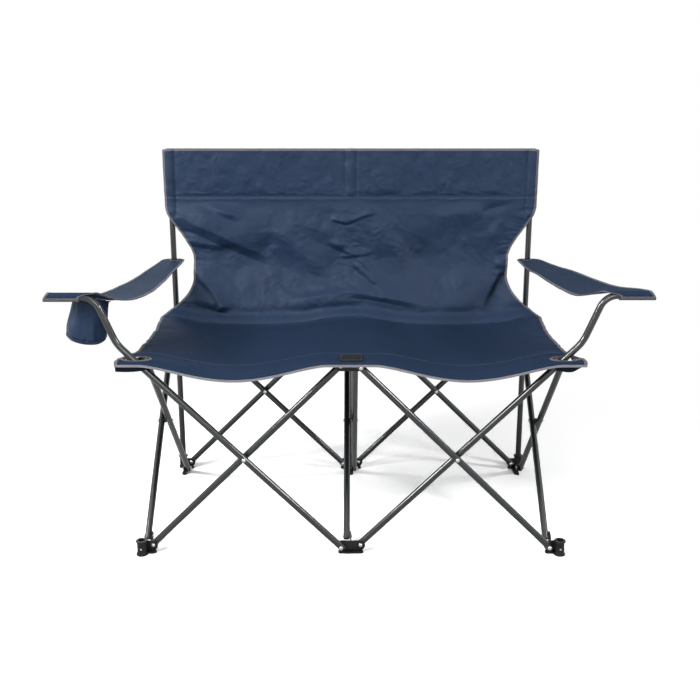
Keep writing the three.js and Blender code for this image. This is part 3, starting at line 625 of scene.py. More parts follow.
# %% [markdown]
# Cloth panels are grids. A grid is made flat, with narrow rows of faces along each bound edge, and every
# vertex is then moved to its place by a formula close to the CAD model's, with the folds of real cloth added.
# The flat grid's place in metres is kept as the UV map, so the weave keeps its size.

# %% Cloth grids
def smooth(value, low, high):
    t = clamp((value - low) / (high - low))
    return t * t * (3 - 2 * t)


def mix(a, b, t):
    return a + (b - a) * t


def hump(off, width):
    """A bell of height one."""
    return math.exp(-(off / width) ** 2)


def wobble(*place):
    return noise.noise(Vector(place))


def ridged(x, y, seed):
    """Noise with sharp crests, like the creases that stay in folded cloth."""
    return 1 - 2 * abs(wobble(x, y, seed))


def through(shares, values, share):
    """A smooth curve through a few measured points."""
    last = len(shares) - 1
    k = max(i for i in range(last) if share >= shares[i] - 1e-9)

    def slope(i):
        before, after = max(i - 1, 0), min(i + 1, last)
        return (values[after] - values[before]) / (shares[after] - shares[before])

    run = shares[k + 1] - shares[k]
    t = (share - shares[k]) / run
    return ((1 + 2 * t) * (1 - t) ** 2 * values[k] + t * (1 - t) ** 2 * run * slope(k)
            + t * t * (3 - 2 * t) * values[k + 1] + t * t * (t - 1) * run * slope(k + 1))


def edged(count, border):
    """Shares from 0 to 1, with two narrow rows inside each bound edge and even ones between."""
    middle = [mix(border, 1 - border, k / (count - 4)) for k in range(count - 3)]
    return [0, border / 2] + middle + [1 - border / 2, 1]


def cloth_grid(at, us, vs, width, length):
    """A grid with its lines at the given shares; returns the bmesh and each vertex's column and row."""
    bm = bmesh.new()
    uv = bm.loops.layers.uv.new("cloth")
    bmesh.ops.create_grid(bm, x_segments=len(us) - 1, y_segments=len(vs) - 1, size=0.5)
    grid = {}
    for vert in bm.verts:
        i, j = round((vert.co.x + 0.5) * (len(us) - 1)), round((vert.co.y + 0.5) * (len(vs) - 1))
        grid[vert] = i, j
    for face in bm.faces:
        for loop in face.loops:
            i, j = grid[loop.vert]
            loop[uv].uv = (us[i] * width, vs[j] * length)
    for vert, (i, j) in grid.items():
        vert.co = at(us[i], vs[j])
    return bm, grid


def strip(bm, grid, across, along, left=0, right=0, low=0, high=0, low_from=0):
    """The faces that lie within a number of rows of each edge."""
    inside = lambda i, j: i < left or i >= across - right or low_from <= j < low or j >= along - high
    corner = {f: (min(grid[v][0] for v in f.verts), min(grid[v][1] for v in f.verts)) for f in bm.faces}
    return [f for f, place in corner.items() if inside(*place)]


def past(bm, grid, row):
    """The faces that lie beyond a row of vertices."""
    return [f for f in bm.faces if min(grid[v][1] for v in f.verts) > row]


def taken(bm, faces):
    """A copy of some of a bmesh's faces in a bmesh of their own."""
    fresh = bm.copy()
    fresh.faces.ensure_lookup_table()
    keep = {f.index for f in faces}
    bmesh.ops.delete(fresh, geom=[f for f in fresh.faces if f.index not in keep], context="FACES")
    return fresh


def cut_round(bm, faces, x, y, across, along):
    """Cut an oval opening through some faces, and bring its ragged edge to a true oval."""
    place = lambda co: Vector(((co.x - x) / across, (co.y - y) / along))
    cut = [f for f in faces if place(f.calc_center_median()).length < 1]
    rim = {v for f in cut for v in f.verts}
    bmesh.ops.delete(bm, geom=cut, context="FACES")
    for vert in rim:
        if vert.is_valid and vert.is_boundary:
            off = place(vert.co).normalized()
            vert.co.x, vert.co.y = x + off.x * across, y + off.y * along
    bm.faces.index_update()


def wrap_uv(bm, x, y, radius):
    """A UV map for a spun cloth piece, in metres around and up."""
    uv = bm.loops.layers.uv.new("cloth")
    for face in bm.faces:
        turns = [math.atan2(loop.vert.co.y - y, loop.vert.co.x - x) for loop in face.loops]
        split = max(turns) - min(turns) > pi
        for loop, turn in zip(face.loops, turns):
            loop[uv].uv = ((turn + 2 * pi if split and turn < 0 else turn) * radius, loop.vert.co.z)


# %% [markdown]
# When the frame folds, the hubs, collars and posts come together and the cloth between them gathers. Each
# vertex then follows the bodies around it, by how near it is to each. A Hook modifier per body does this:
# it moves the vertices of a group by their weight as its body moves, and does nothing at rest.

# %% Cloth follows the bodies around it
def follow(obj, weights):
    for body, weight in weights.items():
        group = obj.vertex_groups.new(name=body)
        for vert in obj.data.vertices:
            w = weight(vert.co)
            if w > 1e-4:
                group.add([vert.index], w, "REPLACE")
        hook = obj.modifiers.new("follows_" + body, "HOOK")
        hook.object, hook.vertex_group = frame["bodies"][body], body
    return obj


def hung(name, bm, material, body, weights, thickness, *nodes, offset=0.0):
    """A sheet of cloth that follows some bodies and has a thickness."""
    obj = piece(name, bm, material, body, "cloth", *nodes, merge=1e-7, outward=False)
    follow(obj, weights)
    solid = obj.modifiers.new("thickness", "SOLIDIFY")
    solid.thickness, solid.offset = thickness, offset
    return obj


def across(co, column):
    """Full at the column's own post and none at the next one."""
    if column == "centre":
        return clamp(1 - abs(co.x) / outer_pivot)
    return clamp(co.x * sides[column] / outer_pivot)


still_reach, gather_reach = 36 * mm, outer_pivot - 66 * mm


def bay_share(co, column):
    """The seat lies still over each hub, and gathers only in the bays between them."""
    share = clamp((abs(co.x) - still_reach) / gather_reach)
    return 1 - share if column == "centre" else share * (co.x * sides[column] > 0)


cloth_body = "rear_centre_base"
seat_front_y, seat_rear_y = front_plane + side_inset, rear_plane - side_inset
depth_share = lambda co: clamp((co.y - seat_front_y) / (seat_rear_y - seat_front_y))
climb = lambda co: smooth(co.z, 0.47, 0.72)
seat_weights, back_weights = {}, {}
for column in columns:
    seat_weights[f"front_{column}_top"] = lambda co, c=column: bay_share(co, c) * (1 - depth_share(co))
    seat_weights[f"rear_{column}_slide"] = lambda co, c=column: bay_share(co, c) * depth_share(co)
    back_weights[f"rear_{column}_slide"] = lambda co, c=column: across(co, c) * (1 - climb(co))
for column in sides:
    back_weights[f"rear_{column}_base"] = lambda co, c=column: across(co, c) * climb(co)

# %% [markdown]
# The seat hangs between six points. It dips in each bay, rises to the hub in the middle, and its front edge
# turns down over the hubs into a short lip. Real cloth also shows short pull folds near the points that hold
# it. They are added as soft ridges that fade with distance. A hem 72 mm deep is sewn along the front.

# %% The seat's surface
seat_front, seat_rear = -281.4 * mm, rear_plane - 64 * mm
seat_length = seat_rear - seat_front
hem_depth = 72 * mm
lip_radius, lip_hang, lip_turn = 4 * mm, 7 * mm, 0.47
bay_start, bay_width = 55 * mm, 397 * mm


def bay_bow(x):
    """Zero over a hub and one in the middle of a bay."""
    return max(sin(pi * clamp((abs(x) - bay_start) / bay_width)), 0)


def seat_height(x, depth):
    inside = bay_bow(x) ** 1.4
    swell = sin(pi * depth)
    dip = mix(34, 8, depth) + 8 * swell
    seam_dip = 13 * smooth(abs(x), 10 * mm, 150 * mm) * smooth(480 * mm - abs(x), 0, 95 * mm) * depth ** 3
    return (mix(455, 452, depth) - 3 * swell - dip * inside - seam_dip) * mm


def seat_reach(depth):
    waist = 5 * sin(pi * smooth(depth, 0.08, 1))
    return (mix(506, mix(480, 499, depth ** 2), smooth(depth, 0, 0.16)) - waist) * mm


held_y = front_plane + 22 * mm
seat_points = [(0, held_y), (-455 * mm, held_y), (455 * mm, held_y),
               (0, seat_rear + 12 * mm), (-470 * mm, seat_rear), (470 * mm, seat_rear)]


def seat_relief(x, y, depth):
    """Creases in millimetres."""
    total = 0.0
    for k, (px, py) in enumerate(seat_points):
        away, turn = math.hypot(x - px, y - py) / 0.1, math.atan2(y - py, x - px)
        total += 2.4 * wobble(turn * 2.2, away * 0.7, k * 5.3) * away * math.exp(-away * away * 0.9)
    total += 2.2 * wobble(x * 4.2, y * 5, 3.3)
    total += 0.55 * ridged(x * 9 + y * 3, y * 16, 6.1) * smooth(depth, 0.1, 0.3)
    bay, in_from_front = bay_bow(x), y - seat_front
    out, roll = in_from_front / hem_depth, in_from_front / (24 * mm)
    total += 5.5 * bay ** 0.7 * out * math.exp(1 - out) * smooth(1.1 - depth, 0.1, 0.6)
    total += 2.4 * hump(in_from_front - hem_depth, 0.0045) * (0.75 + 0.6 * wobble(x * 14, 0, 8))
    total += 2.4 * hump(depth - 0.95, 0.018) * (0.8 + wobble(x * 12, 0, 1))
    reach = seat_reach(depth)
    total += 2.6 * ridged(x * 14, y * 42 + x * 9, 12.5) * smooth(abs(x), reach - 0.09, reach)
    total += 3.4 * bay ** 0.5 * roll * math.exp(1 - roll)
    total += 1.6 * hump(in_from_front - 30 * mm, 0.004) * (0.4 + wobble(x * 22, 0, 5))
    return total * smooth(depth, 0, 0.03) * smooth(1 - depth, 0, 0.03)


def seat_z(x, y):
    depth = clamp((y - seat_front - lip_radius) / (seat_length - lip_radius))
    return seat_height(x, depth) + seat_relief(x, y, depth) * mm


lip_share = 13.3 / 490
lip_rows, seat_rows, seat_columns = 12, 108, 170


def seat_at(u, v):
    if v < lip_share:
        along = 1 - v / lip_share
        turn = min(along / lip_turn, 1) * pi / 2
        hang = max(along - lip_turn, 0) / (1 - lip_turn) * lip_hang
        x = mix(-1, 1, u) * seat_reach(0)
        wave = 0.5 * mm * wobble(x * 30, along, 2) * along
        return Vector((x, seat_front + lip_radius * (1 - sin(turn)) + wave + 0.12 * hang,
                       seat_height(x, 0) - lip_radius * (1 - cos(turn)) - hang))
    depth = (v - lip_share) / (1 - lip_share)
    x, y = mix(-1, 1, u) * seat_reach(depth), mix(seat_front + lip_radius, seat_rear, depth)
    return Vector((x, y, seat_z(x, y)))


# %% The seat, its openings for the arms, and its tapes
seat_tape = 7 * mm
seat_us = edged(seat_columns, seat_tape / 1.0)
seat_vs = [lip_share * k / lip_rows for k in range(lip_rows)]
seat_vs += [mix(lip_share, 1, k / seat_rows) for k in range(seat_rows + 1)]
bm, grid = cloth_grid(seat_at, seat_us, seat_vs, 1.0, 0.49)
opening_height, opening_y = 436 * mm, seat_front + 24.5 * mm
arm_x = inner_pivot + opening_height * math.tan(open_angle)
arm_holes = {side: (out * arm_x, front_plane + out * leg_offset) for side, out in sides.items()}
for x, _ in arm_holes.values():
    cut_round(bm, past(bm, grid, lip_rows), x, opening_y, 29 * mm, 17.5 * mm)
seat_lines = len(seat_vs) - 1
sides_bm = taken(bm, strip(bm, grid, seat_columns, seat_lines, left=2, right=2))
front_bm = taken(bm, strip(bm, grid, seat_columns, seat_lines, low=5))
seat = hung("cloth_seat", bm, rubbed_canvas_painted_shade, cloth_body, seat_weights, 1.1 * mm, "seat_panel")
seat_sides = hung("tape_seat_sides", sides_bm, tape, cloth_body, seat_weights, 2.8 * mm)
seat_edge = hung("tape_seat_front", front_bm, front_tape, cloth_body, seat_weights, 3 * mm)
openings = [[round(c, 4) for c in hole] for hole in arm_holes.values()]
print("seat", len(seat.data.polygons), "faces, openings at", openings)

# %% [markdown]
# A small flap of cloth hangs under each front corner and hides the hub. Its cloth is the same navy drawn
# near black, as painted shade for the shadow under the corner. Each opening in the seat has a rim of tape and
# two black eyelets. A patch of ribbed webbing is sewn over the middle of the front edge, for the hand that
# folds the seat, and is left plain.

# %% Flaps, rims, eyelets and the patch
def sheet_of(name, at, counts, size, material, body, weights, thickness):
    """A sheet with even rows, for flaps, rims and patches."""
    us, vs = ([k / count for k in range(count + 1)] for count in counts)
    bm, _ = cloth_grid(at, us, vs, *size)
    return hung(name, bm, material, body, weights, thickness)


def flap_at(out, inner, outer, low_shares):
    def at(u, v):
        x = mix(inner, outer, u)
        drop = mix(6 * mm, through([0, 0.25, 0.7, 1], low_shares, u) * mm, 1 - v)
        tuck = 1.5 * mm + 7 * mm * (drop / 0.03) ** 2 * (1 - v) ** 2 * 0.6
        return Vector((out * x, seat_front + tuck + 0.7 * mm * sin(u * 9) * (1 - v), seat_height(x, 0) - drop))
    return at


# the inner and outer end of each flap, the last of its four depths in millimetres, and its flat width
flaps = {"left": (427 * mm, 505 * mm, 22, 0.08), "right": (430 * mm, 494 * mm, 12, 0.07)}
for side, (inner, outer, last, width) in flaps.items():
    at = flap_at(sides[side], inner, outer, [9, 19, 22.5, last])
    sheet_of(f"cloth_flap_{side}", at, (30, 10), (width, 0.025), flap_cloth_painted_shade, cloth_body, seat_weights, 1.4 * mm)


def rim_at(place, x, y, rx, ry, width, height):
    """A band of tape round an opening; u goes round it, v from its inner to its outer edge."""
    def at(u, v):
        turn = 2 * pi * u
        px, py = x + (rx + width * v) * cos(turn), y + (ry + width * 0.55 * v) * sin(turn)
        return place(px, py) + Vector((0, 0, height * (0.55 + 0.45 * sin(pi * v))))
    return at


def on_seat(x, y, lift=0.0):
    return Vector((x, y, seat_z(x, y) + lift))


stud_height, stud_tilt, stud_places = 455.5 * mm, Matrix.Rotation(radians(14), 4, "X"), (-19 * mm, 20.5 * mm)
stud = scaled([(0, -8), (4, -8), (4, -1), (8.4, -0.6), (8.8, 0.4), (8, 1.2), (5.6, 1.4), (5, 0.6), (0, 0.6)])
crown = [(4.3 * sin(a), 0.6 + 1.7 * cos(a)) for a in (pi / 2, pi / 2.6, pi / 3.6, pi / 6)]
stud_rivet = scaled([(0, 0.6)] + crown + [(0, 2.3)])
for side, (x, _) in arm_holes.items():
    rim = rim_at(on_seat, x, opening_y, 27.5 * mm, 16.4 * mm, 7 * mm, 1.4 * mm)
    sheet_of(f"tape_arm_rim_{side}", rim, (72, 6), (0.15, 0.007), tape, cloth_body, seat_weights, 1 * mm)
    for name, profile, steps, material, slot in (
            ("stud", stud, 32, nylon, "plastic"), ("stud_rivets", stud_rivet, 24, enamel, "enamel")):
        bm = bmesh.new()
        for off in stud_places:
            turned(bm, profile, moved(x + off, opening_y, stud_height) @ stud_tilt, steps)
        piece(f"{name}_{side}", bm, material, f"front_{side}_top", slot)


def patch_at(u, v):
    x, y = mix(-23.5, 25.5, u) * mm, mix(seat_front + 3 * mm, seat_front + 66 * mm, v)
    edge = min(u, 1 - u, v, 1 - v)
    return Vector((x, y, seat_z(x, y) + 1.6 * mm + 0.5 * mm * smooth(edge, 0, 0.06)))


sheet_of("webbing_patch", patch_at, (24, 30), (0.049, 0.063), webbing, cloth_body, seat_weights, 1.4 * mm)
print("seat trimmings", len(named("cloth_flap", "tape_arm", "stud", "webbing")))

# %% [markdown]
# The back rises from the seat's rear seam, leans to the posts and is taut across their pockets. Its waist is
# narrow where the elbows go. The folds are written as a list, read off the photograph: each has two ends on
# the back, a steep side and a gentle one, and a height. The cloth stands forward along each by that height.

# %% The back's surface
back_low, back_high = seat_rear + 1.4 * mm, post_y - tube_radius - 1.8 * mm
back_top, seam_height = 883.4 * mm, 452 * mm
band_seam = 760  # in millimetres, like all heights in the relief


def back_reach(height):
    flare = max(560 * mm - height, 0) / (108 * mm)
    shoulder = mix(418, 489, smooth(height, 600 * mm, 740 * mm))
    return mix(shoulder, 499, flare ** 2) * mm


def fold(x, z, x0, z0, x1, z1, steep, gentle, height):
    dx, dz = x1 - x0, z1 - z0
    long = math.hypot(dx, dz)
    t = ((x - x0) * dx + (z - z0) * dz) / (long * long)
    if t < -0.4 or t > 1.4:
        return 0.0
    side = ((x - x0) * dz - (z - z0) * dx) / long + 2.2 * wobble(x / 34, z / 34, height)
    shape = max(0.0, 1 - side / steep / 1.4) if side > 0 else hump(side, gentle)
    return height * shape * smooth(t, -0.25, 0.25) * smooth(1 - t, -0.25, 0.35)


# x and z of both ends, the width of the side on the right of the line, that of the left side, and the height
back_folds = [
    (-440, 701, -238, 609, 17, 60, 10.0), (-238, 612, -196, 650, 12, 26, -2.4), (-196, 655, -80, 575, 42, 46, 6.0),
    (-402, 753, -300, 706, 9, 30, 4.2), (-428, 642, -336, 628, 10, 26, 4.5), (-416, 566, -338, 482, 11, 42, 7.0),
    (-338, 486, -352, 466, 7, 12, 3.0), (-300, 520, -180, 560, 30, 34, 3.0), (-420, 500, -330, 474, 14, 20, 4.0),
    (195, 482, 48, 732, 24, 60, 5.5), (240, 500, 130, 640, 14, 34, 2.6), (424, 752, 352, 722, 34, 12, -5.0),
    (352, 740, 230, 700, 24, 40, 3.5), (398, 700, 372, 652, 14, 22, 2.2), (412, 560, 366, 474, 10, 38, -8.0),
    (420, 600, 388, 580, 8, 16, 3.0), (330, 560, 250, 490, 30, 40, 3.4), (4, 588, 84, 524, 8, 22, 4.2),
    (20, 600, 60, 560, 6, 14, 2.6), (-150, 492, 0, 514, 34, 11, 5.5), (0, 514, 165, 488, 11, 34, 5.5),
    (-45, 632, 20, 606, 6, 14, 3.0), (-60, 640, -10, 632, 7, 14, 2.4), (-20, 604, 50, 612, 6, 12, 2.6),
    (-46, 702, -12, 690, 5, 12, 3.0), (-10, 690, 22, 706, 5, 12, 2.8), (22, 706, 64, 722, 6, 14, 2.4),
    (-150, 690, -20, 650, 22, 30, 3.0), (-300, 660, -160, 672, 26, 40, 2.6), (90, 700, 210, 640, 30, 44, 2.4),
]
puckers = [  # place along the band and width
    (-420, 60), (-402, 24), (-368, 30), (-330, 22), (-285, 34), (-222, 26), (-186, 40), (-150, 22), (-88, 40),
    (-40, 18), (52, 24), (96, 38), (176, 20), (250, 34), (262, 18), (330, 26), (392, 34)]
pocket_seams = [(-473.2, 14, 703), (0, 16, 758), (473.2, 14, 703)]  # post, distance of its seams, lowest height


def crumple(x, z, seed):
    """Facets with sharp creases between them, in three sizes and directions."""
    bend = 14 * wobble(x / 80, z / 80, seed + 20)
    large = abs(wobble((x * 0.8 + z * 0.6 + bend) / 105, (z * 0.8 - x * 0.6) / 62, seed))
    middle = abs(wobble((x * 0.5 - z * 0.87 + bend) / 58, (z * 0.5 + x * 0.87) / 40, seed + 4))
    small = abs(wobble((x + bend) / 24, (z - bend) / 19, seed + 9))
    return 3.2 * large + 2.4 * middle + 1.8 * small * (0.2 + 2 * middle)


def back_relief(x, z):
    """How far the cloth stands forward of its smooth form, in millimetres."""
    loose = smooth(band_seam - 8 - z, 0, 40)
    total = 2.2 * loose * sum(fold(x, z, *entry) for entry in back_folds)
    total += loose * (2.6 * wobble(x / 120, z / 85, 1.7) + crumple(x, z, 1.0))
    near = hump(x - 6, 40) * loose * smooth(z, 462, 500)
    total += near * (1.5 * ridged(x / 30 + z / 90, z / 17, 9.7) + 0.8 * ridged(x / 14, z / 9 + x / 40, 4.4))
    reach = back_reach(z * mm)
    total += smooth(abs(x), 0.86 * reach / mm, reach / mm) * loose * 2.4 * ridged(x / 60, z / 15, 7.2)
    band = smooth(z, band_seam + 4, band_seam + 16)
    total += band * (2.2 * wobble(x / 52, z / 220, 8) + 1.1 * ridged(x / 44, z / 120, 1.1))
    total += band * 0.8 * crumple(x * 1.4, z * 1.2, 6.6)
    total -= 1.1 * hump(z - band_seam, 2.4)
    for place, width in puckers:
        above, below = hump(x - place, width), hump(x - place - 9, width)
        total += 1.1 * hump(z - (band_seam + 2) - 7 * above, 3.2) * above
        total += 0.8 * hump(z - (band_seam - 4) + 6 * below, 3.4) * below
    for post, seam, low in pocket_seams:
        off, tall = abs(x - post), smooth(z, low, low + 10)
        total += 3.2 * math.exp(-(off / 9) ** 4) * tall - 2.6 * hump(off - seam, 2.6) * tall
    return total


def back_at(u, v):
    height = seam_height + (back_top - seam_height) * v
    x = mix(-1, 1, u) * back_reach(height)
    lift = (seat_height(x, 1) - seam_height) * (1 - v) ** 2
    lean = min(v / 0.38, 1)
    bay = sin(pi * x / post_x) ** 2 if abs(x) < post_x else 0
    belly = 9 * mm * bay * sin(pi * v) + 9 * mm * hump(v - 0.05, 0.035) * smooth(v, 0, 0.04)
    y = mix(back_low, back_high, sin(lean * pi / 2)) + belly
    z = height + lift
    relief = back_relief(x / mm, z / mm) * smooth(v, 0, 0.04) * smooth(1 - v, -0.02, 0.02) * mm
    droop = 3 * mm * smooth(abs(x), 470 * mm, 489 * mm) * smooth(v, 0.97, 1)
    return Vector((x, y - relief, z - droop - 0.25 * relief * smooth(0.5 - v, 0, 0.5)))


def on_back(x, z, lift=0.9 * mm):
    v = (z - seam_height) / (back_top - seam_height)
    return back_at((x / back_reach(z) + 1) / 2, v) + Vector((0, -lift, 0))


# %% The back and its tape
back_tape = 6.5 * mm
back_columns, back_rows, back_width, back_length = 340, 200, 0.95, 0.44
back_us, back_vs = edged(back_columns, back_tape / back_width), edged(back_rows, back_tape / back_length)
bm, grid = cloth_grid(back_at, back_us, back_vs, back_width, back_length)
tape_bm = taken(bm, strip(bm, grid, back_columns, back_rows, left=2, right=2, high=2))
back = hung("cloth_back", bm, canvas, cloth_body, back_weights, 1.1 * mm, "back_panel")
back_edge = hung("tape_back", tape_bm, tape, cloth_body, back_weights, 2.8 * mm)
print("back", len(back.data.polygons), "faces,", len(back_folds), "folds")

# %% [markdown]
# The pockets are cloth tubes sewn behind the back, one on each post, closed at the top.
# They are spun from a profile, and their lower hems are a little wider.

# %% Pockets on the posts
sleeve_lengths = {"left": 176 * mm, "centre": 118 * mm, "right": 176 * mm}
for column, length in sleeve_lengths.items():
    bm = bmesh.new()
    low, bore = back_top - length, tube_radius + 1 * mm
    heights = [mix(low + 4 * mm, back_top - 4 * mm, k / 16) for k in range(17)]
    wall = [(bore + 1.3 * mm + 0.4 * mm * sin(k * 1.7), z) for k, z in enumerate(heights)]
    crown = [(bore + 0.6 * mm, back_top - 1.4 * mm), (bore - 2 * mm, back_top - 0.2 * mm), (0, back_top)]
    inside = [(0, back_top - 1.2 * mm), (bore - 1 * mm, back_top - 1.6 * mm),
              (bore, back_top - 3 * mm), (bore, low)]
    hem = [(bore + 1.9 * mm, low)]
    turned(bm, hem + wall + crown + inside + hem, moved(post_xs[column], post_y), 40)
    wrap_uv(bm, post_xs[column], post_y, bore)
    piece(f"sleeve_{column}", bm, canvas, post_bodies[column], "cloth")
print("pockets", len(sleeve_lengths))

# %% [markdown]
# An armrest is a strip of cloth. Its front end is sewn into a sleeve on the level end of the arm, it sags
# between its ends, and its narrow rear end has rounded corners and a hole that drops over the post.

# %% The armrests' surface
inner_sags = {"left": [0, 27, 36, 32, 17, 0], "right": [0, 20, 19, 14, 13, 0]}
outer_sags = {"left": [0, 27, 36, 32, 17, 0], "right": [0, 5, 11, 5, 3, 0]}
sag_shares = [0, 0.11, 0.25, 0.55, 0.77, 1]
wrap_share, wrap_rows, rest_rows, rest_columns = 0.075, 14, 120, 44
rest_rear = post_y + 11.5 * mm
hug = 8.8 * mm


def armrest_edges(share):
    """The distances of both edges from the chair's middle."""
    inner = mix(535, 444, through([0, 0.11, 0.24, 0.4, 0.6, 1], [0, 0.41, 0.62, 0.75, 0.83, 1], share)) * mm
    flare = mix(641, 650, smooth(share, 0, 0.05))
    outer = mix(flare, 503, through([0, 0.36, 0.62, 1], [0, 0.47, 0.72, 1], share)) * mm
    return inner, outer


def armrest_line(out, share, over):
    """The y and z of a place along the armrest, over being 0 at its inner edge and 1 at its outer one."""
    side = "left" if out < 0 else "right"
    inner_sag, outer_sag = (through(sag_shares, sags[side], share) for sags in (inner_sags, outer_sags))
    z = mix(603.3, 592, share) - mix(inner_sag, outer_sag, over)
    return mix(front_plane + out * leg_offset, rest_rear, share), z * mm


def armrest_at(out):
    def at(u, v):
        over = u if out > 0 else 1 - u
        if v < wrap_share:
            turn = (1 - v / wrap_share) * pi * 1.45
            y = front_plane + out * leg_offset - hug * sin(turn)
            z = arm_height + hug * cos(turn) - 0.1 * mm * turn
            inner = mix(535, 573, smooth(turn, 0, 1.5)) * mm
            outer = mix(641, 649.5, smooth(turn, 0, 2.4)) * mm
            return Vector((out * mix(inner, outer, over), y, z))
        share = (v - wrap_share) / (1 - wrap_share)
        inner, outer = armrest_edges(share)
        y, z = armrest_line(out, share, over)
        tail = 0.94 * clamp((y - rest_rear + 20 * mm) / (20 * mm))
        half = (outer - inner) / 2 * (1 - tail ** 2.6) ** (1 / 2.6)
        x = (inner + outer) / 2 + (2 * over - 1) * half
        ends = smooth(share, 0.02, 0.1) * smooth(1 - share, 0, 0.1)
        cup = 2.2 * mm * (2 * over - 1) ** 2 * smooth(share, 0.12, 0.4) * smooth(1 - share, 0.05, 0.4)
        soft = 2.0 * mm * wobble(x * 16, y * 8, out * 3) + 0.5 * mm * ridged(x * 14, y * 24, out * 2)
        return Vector((out * x, y, z + soft * ends + cup))
    return at


def on_armrest(x, y):
    """A place on the left or right armrest, smooth and without its small waves."""
    out = 1 if x > 0 else -1
    front = front_plane + out * leg_offset
    share = clamp((y - front) / (rest_rear - front))
    inner, outer = armrest_edges(share)
    return Vector((x, y, armrest_line(out, share, (abs(x) - inner) / (outer - inner))[1]))


# %% The armrests and their tapes
cup_x, cup_y, cup_tilt, mouth = -562 * mm, front_plane + 60 * mm, radians(12), 35.5 * mm
rest_share = lambda co: clamp((co.y - front_plane - 0.02) / (post_y - front_plane - 0.02))
rest_weight = {side: {f"rear_{side}_base": rest_share} for side in sides}
rest_us = edged(rest_columns, 6 * mm / 0.1)
rest_vs = [wrap_share * k / wrap_rows for k in range(wrap_rows)]
rest_vs += [mix(wrap_share, 1, k / rest_rows) for k in range(rest_rows + 1)]
rest_lines = len(rest_vs) - 1
cup_rows, post_rows, hole = 60, 90, 8.6 * mm
for side, out in sides.items():
    body, weights, x = f"front_{side}_arm", rest_weight[side], out * post_x
    bm, grid = cloth_grid(armrest_at(out), rest_us, rest_vs, 0.1, 0.585)
    if side == "left":
        near = [f for f in past(bm, grid, wrap_rows) if max(grid[v][1] for v in f.verts) < cup_rows]
        cut_round(bm, near, cup_x, cup_y, mouth, mouth)
    cut_round(bm, past(bm, grid, post_rows), x, post_y, hole, hole)
    edges = strip(bm, grid, rest_columns, rest_lines, left=2, right=2, high=1)
    lower = strip(bm, grid, rest_columns, rest_lines, low=9, low_from=5)
    tape_bm = taken(bm, edges + lower)
    hung(f"cloth_armrest_{side}", bm, rubbed_canvas_painted_shade, body, weights, 1.1 * mm, f"armrest_{side}")
    hung(f"tape_armrest_{side}", tape_bm, tape, body, weights, 2.3 * mm)
    rim = rim_at(on_armrest, x, post_y, 8.3 * mm, 8.3 * mm, 4 * mm, 1.2 * mm)
    sheet_of(f"tape_post_rim_{side}", rim, (40, 5), (0.06, 0.004), tape, body, weights, 0.9 * mm)
rim = rim_at(on_armrest, cup_x, cup_y, mouth - 1 * mm, mouth - 1 * mm, 6 * mm, 1.2 * mm)
sheet_of("tape_cup_rim", rim, (72, 5), (0.22, 0.006), tape, "front_left_arm", rest_weight["left"], 0.9 * mm)

# %% [markdown]
# The cup holder is a bag under the opening in one armrest. A profile is spun and tipped by 12 degrees,
# its wall is creased, and its mouth is brought up to the armrest.

# %% The cup holder
bag = [(0, 0.6), (12, 0.2), (24, 0.4), (32, 1.2), (37.5, 3.2),
       (41, 6.2), (43, 10), (43.8, 13), (42, 14.4), (43.6, 16)]
bag += [(mix(43.6, 38.6, t / 22) + 0.4 * sin(t / 22 * pi), mix(18, 118, t / 22)) for t in range(23)]
bm = bmesh.new()
verts = [bm.verts.new((r, 0, z)) for r, z in scaled(bag)]
edges = [bm.edges.new(pair) for pair in zip(verts, verts[1:])]
spin_round(bm, verts + edges, 110)
wrap_uv(bm, 0, 0, 42 * mm)
placed = moved(cup_x, cup_y, 608 * mm) @ Matrix.Rotation(cup_tilt, 4, "Y") @ moved(z=-130 * mm)
for vert in bm.verts:
    x, y, z = vert.co
    turn, height = math.atan2(y, x), z / mm
    around = Vector((cos(turn), sin(turn), 0))
    crease = 4.5 * wobble(around.x * 1.9, around.y * 1.9, height / 60)
    crease += 3.4 * ridged(around.x * 2.6 + height / 90, around.y * 2.6, height / 120)
    crease += 0.9 * wobble(around.x * 9, around.y * 9, height / 14) * hump(height - 18, 9)
    crease *= smooth(height, 2, 14) * smooth(122 - height, 0, 14)
    lifted = placed @ (vert.co + around * (crease - 3.2) * mm)
    roof = on_armrest(lifted.x, lifted.y).z - 2 * mm
    lifted.z = min(mix(lifted.z, roof, smooth(height, 84, 116)), roof)
    vert.co = lifted
bmesh.ops.recalc_face_normals(bm, faces=bm.faces)
cup = hung("cloth_cup_holder", bm, canvas, "front_left_arm", {}, 1.2 * mm, "cup_holder", offset=-1)
print("cup holder", [round(v, 3) for v in cup.dimensions])

# %% [markdown]
# Every seam is sewn with a bonded thread in stitches about 3 mm long. A stitch is a small spindle: four sides,
# pointed at both ends, half sunk in the cloth. One function lays a row of them along a path.

# %% Stitches
stitch_length, stitch_gap, stitch_radius = 2.9 * mm, 1.5 * mm, 0.42 * mm


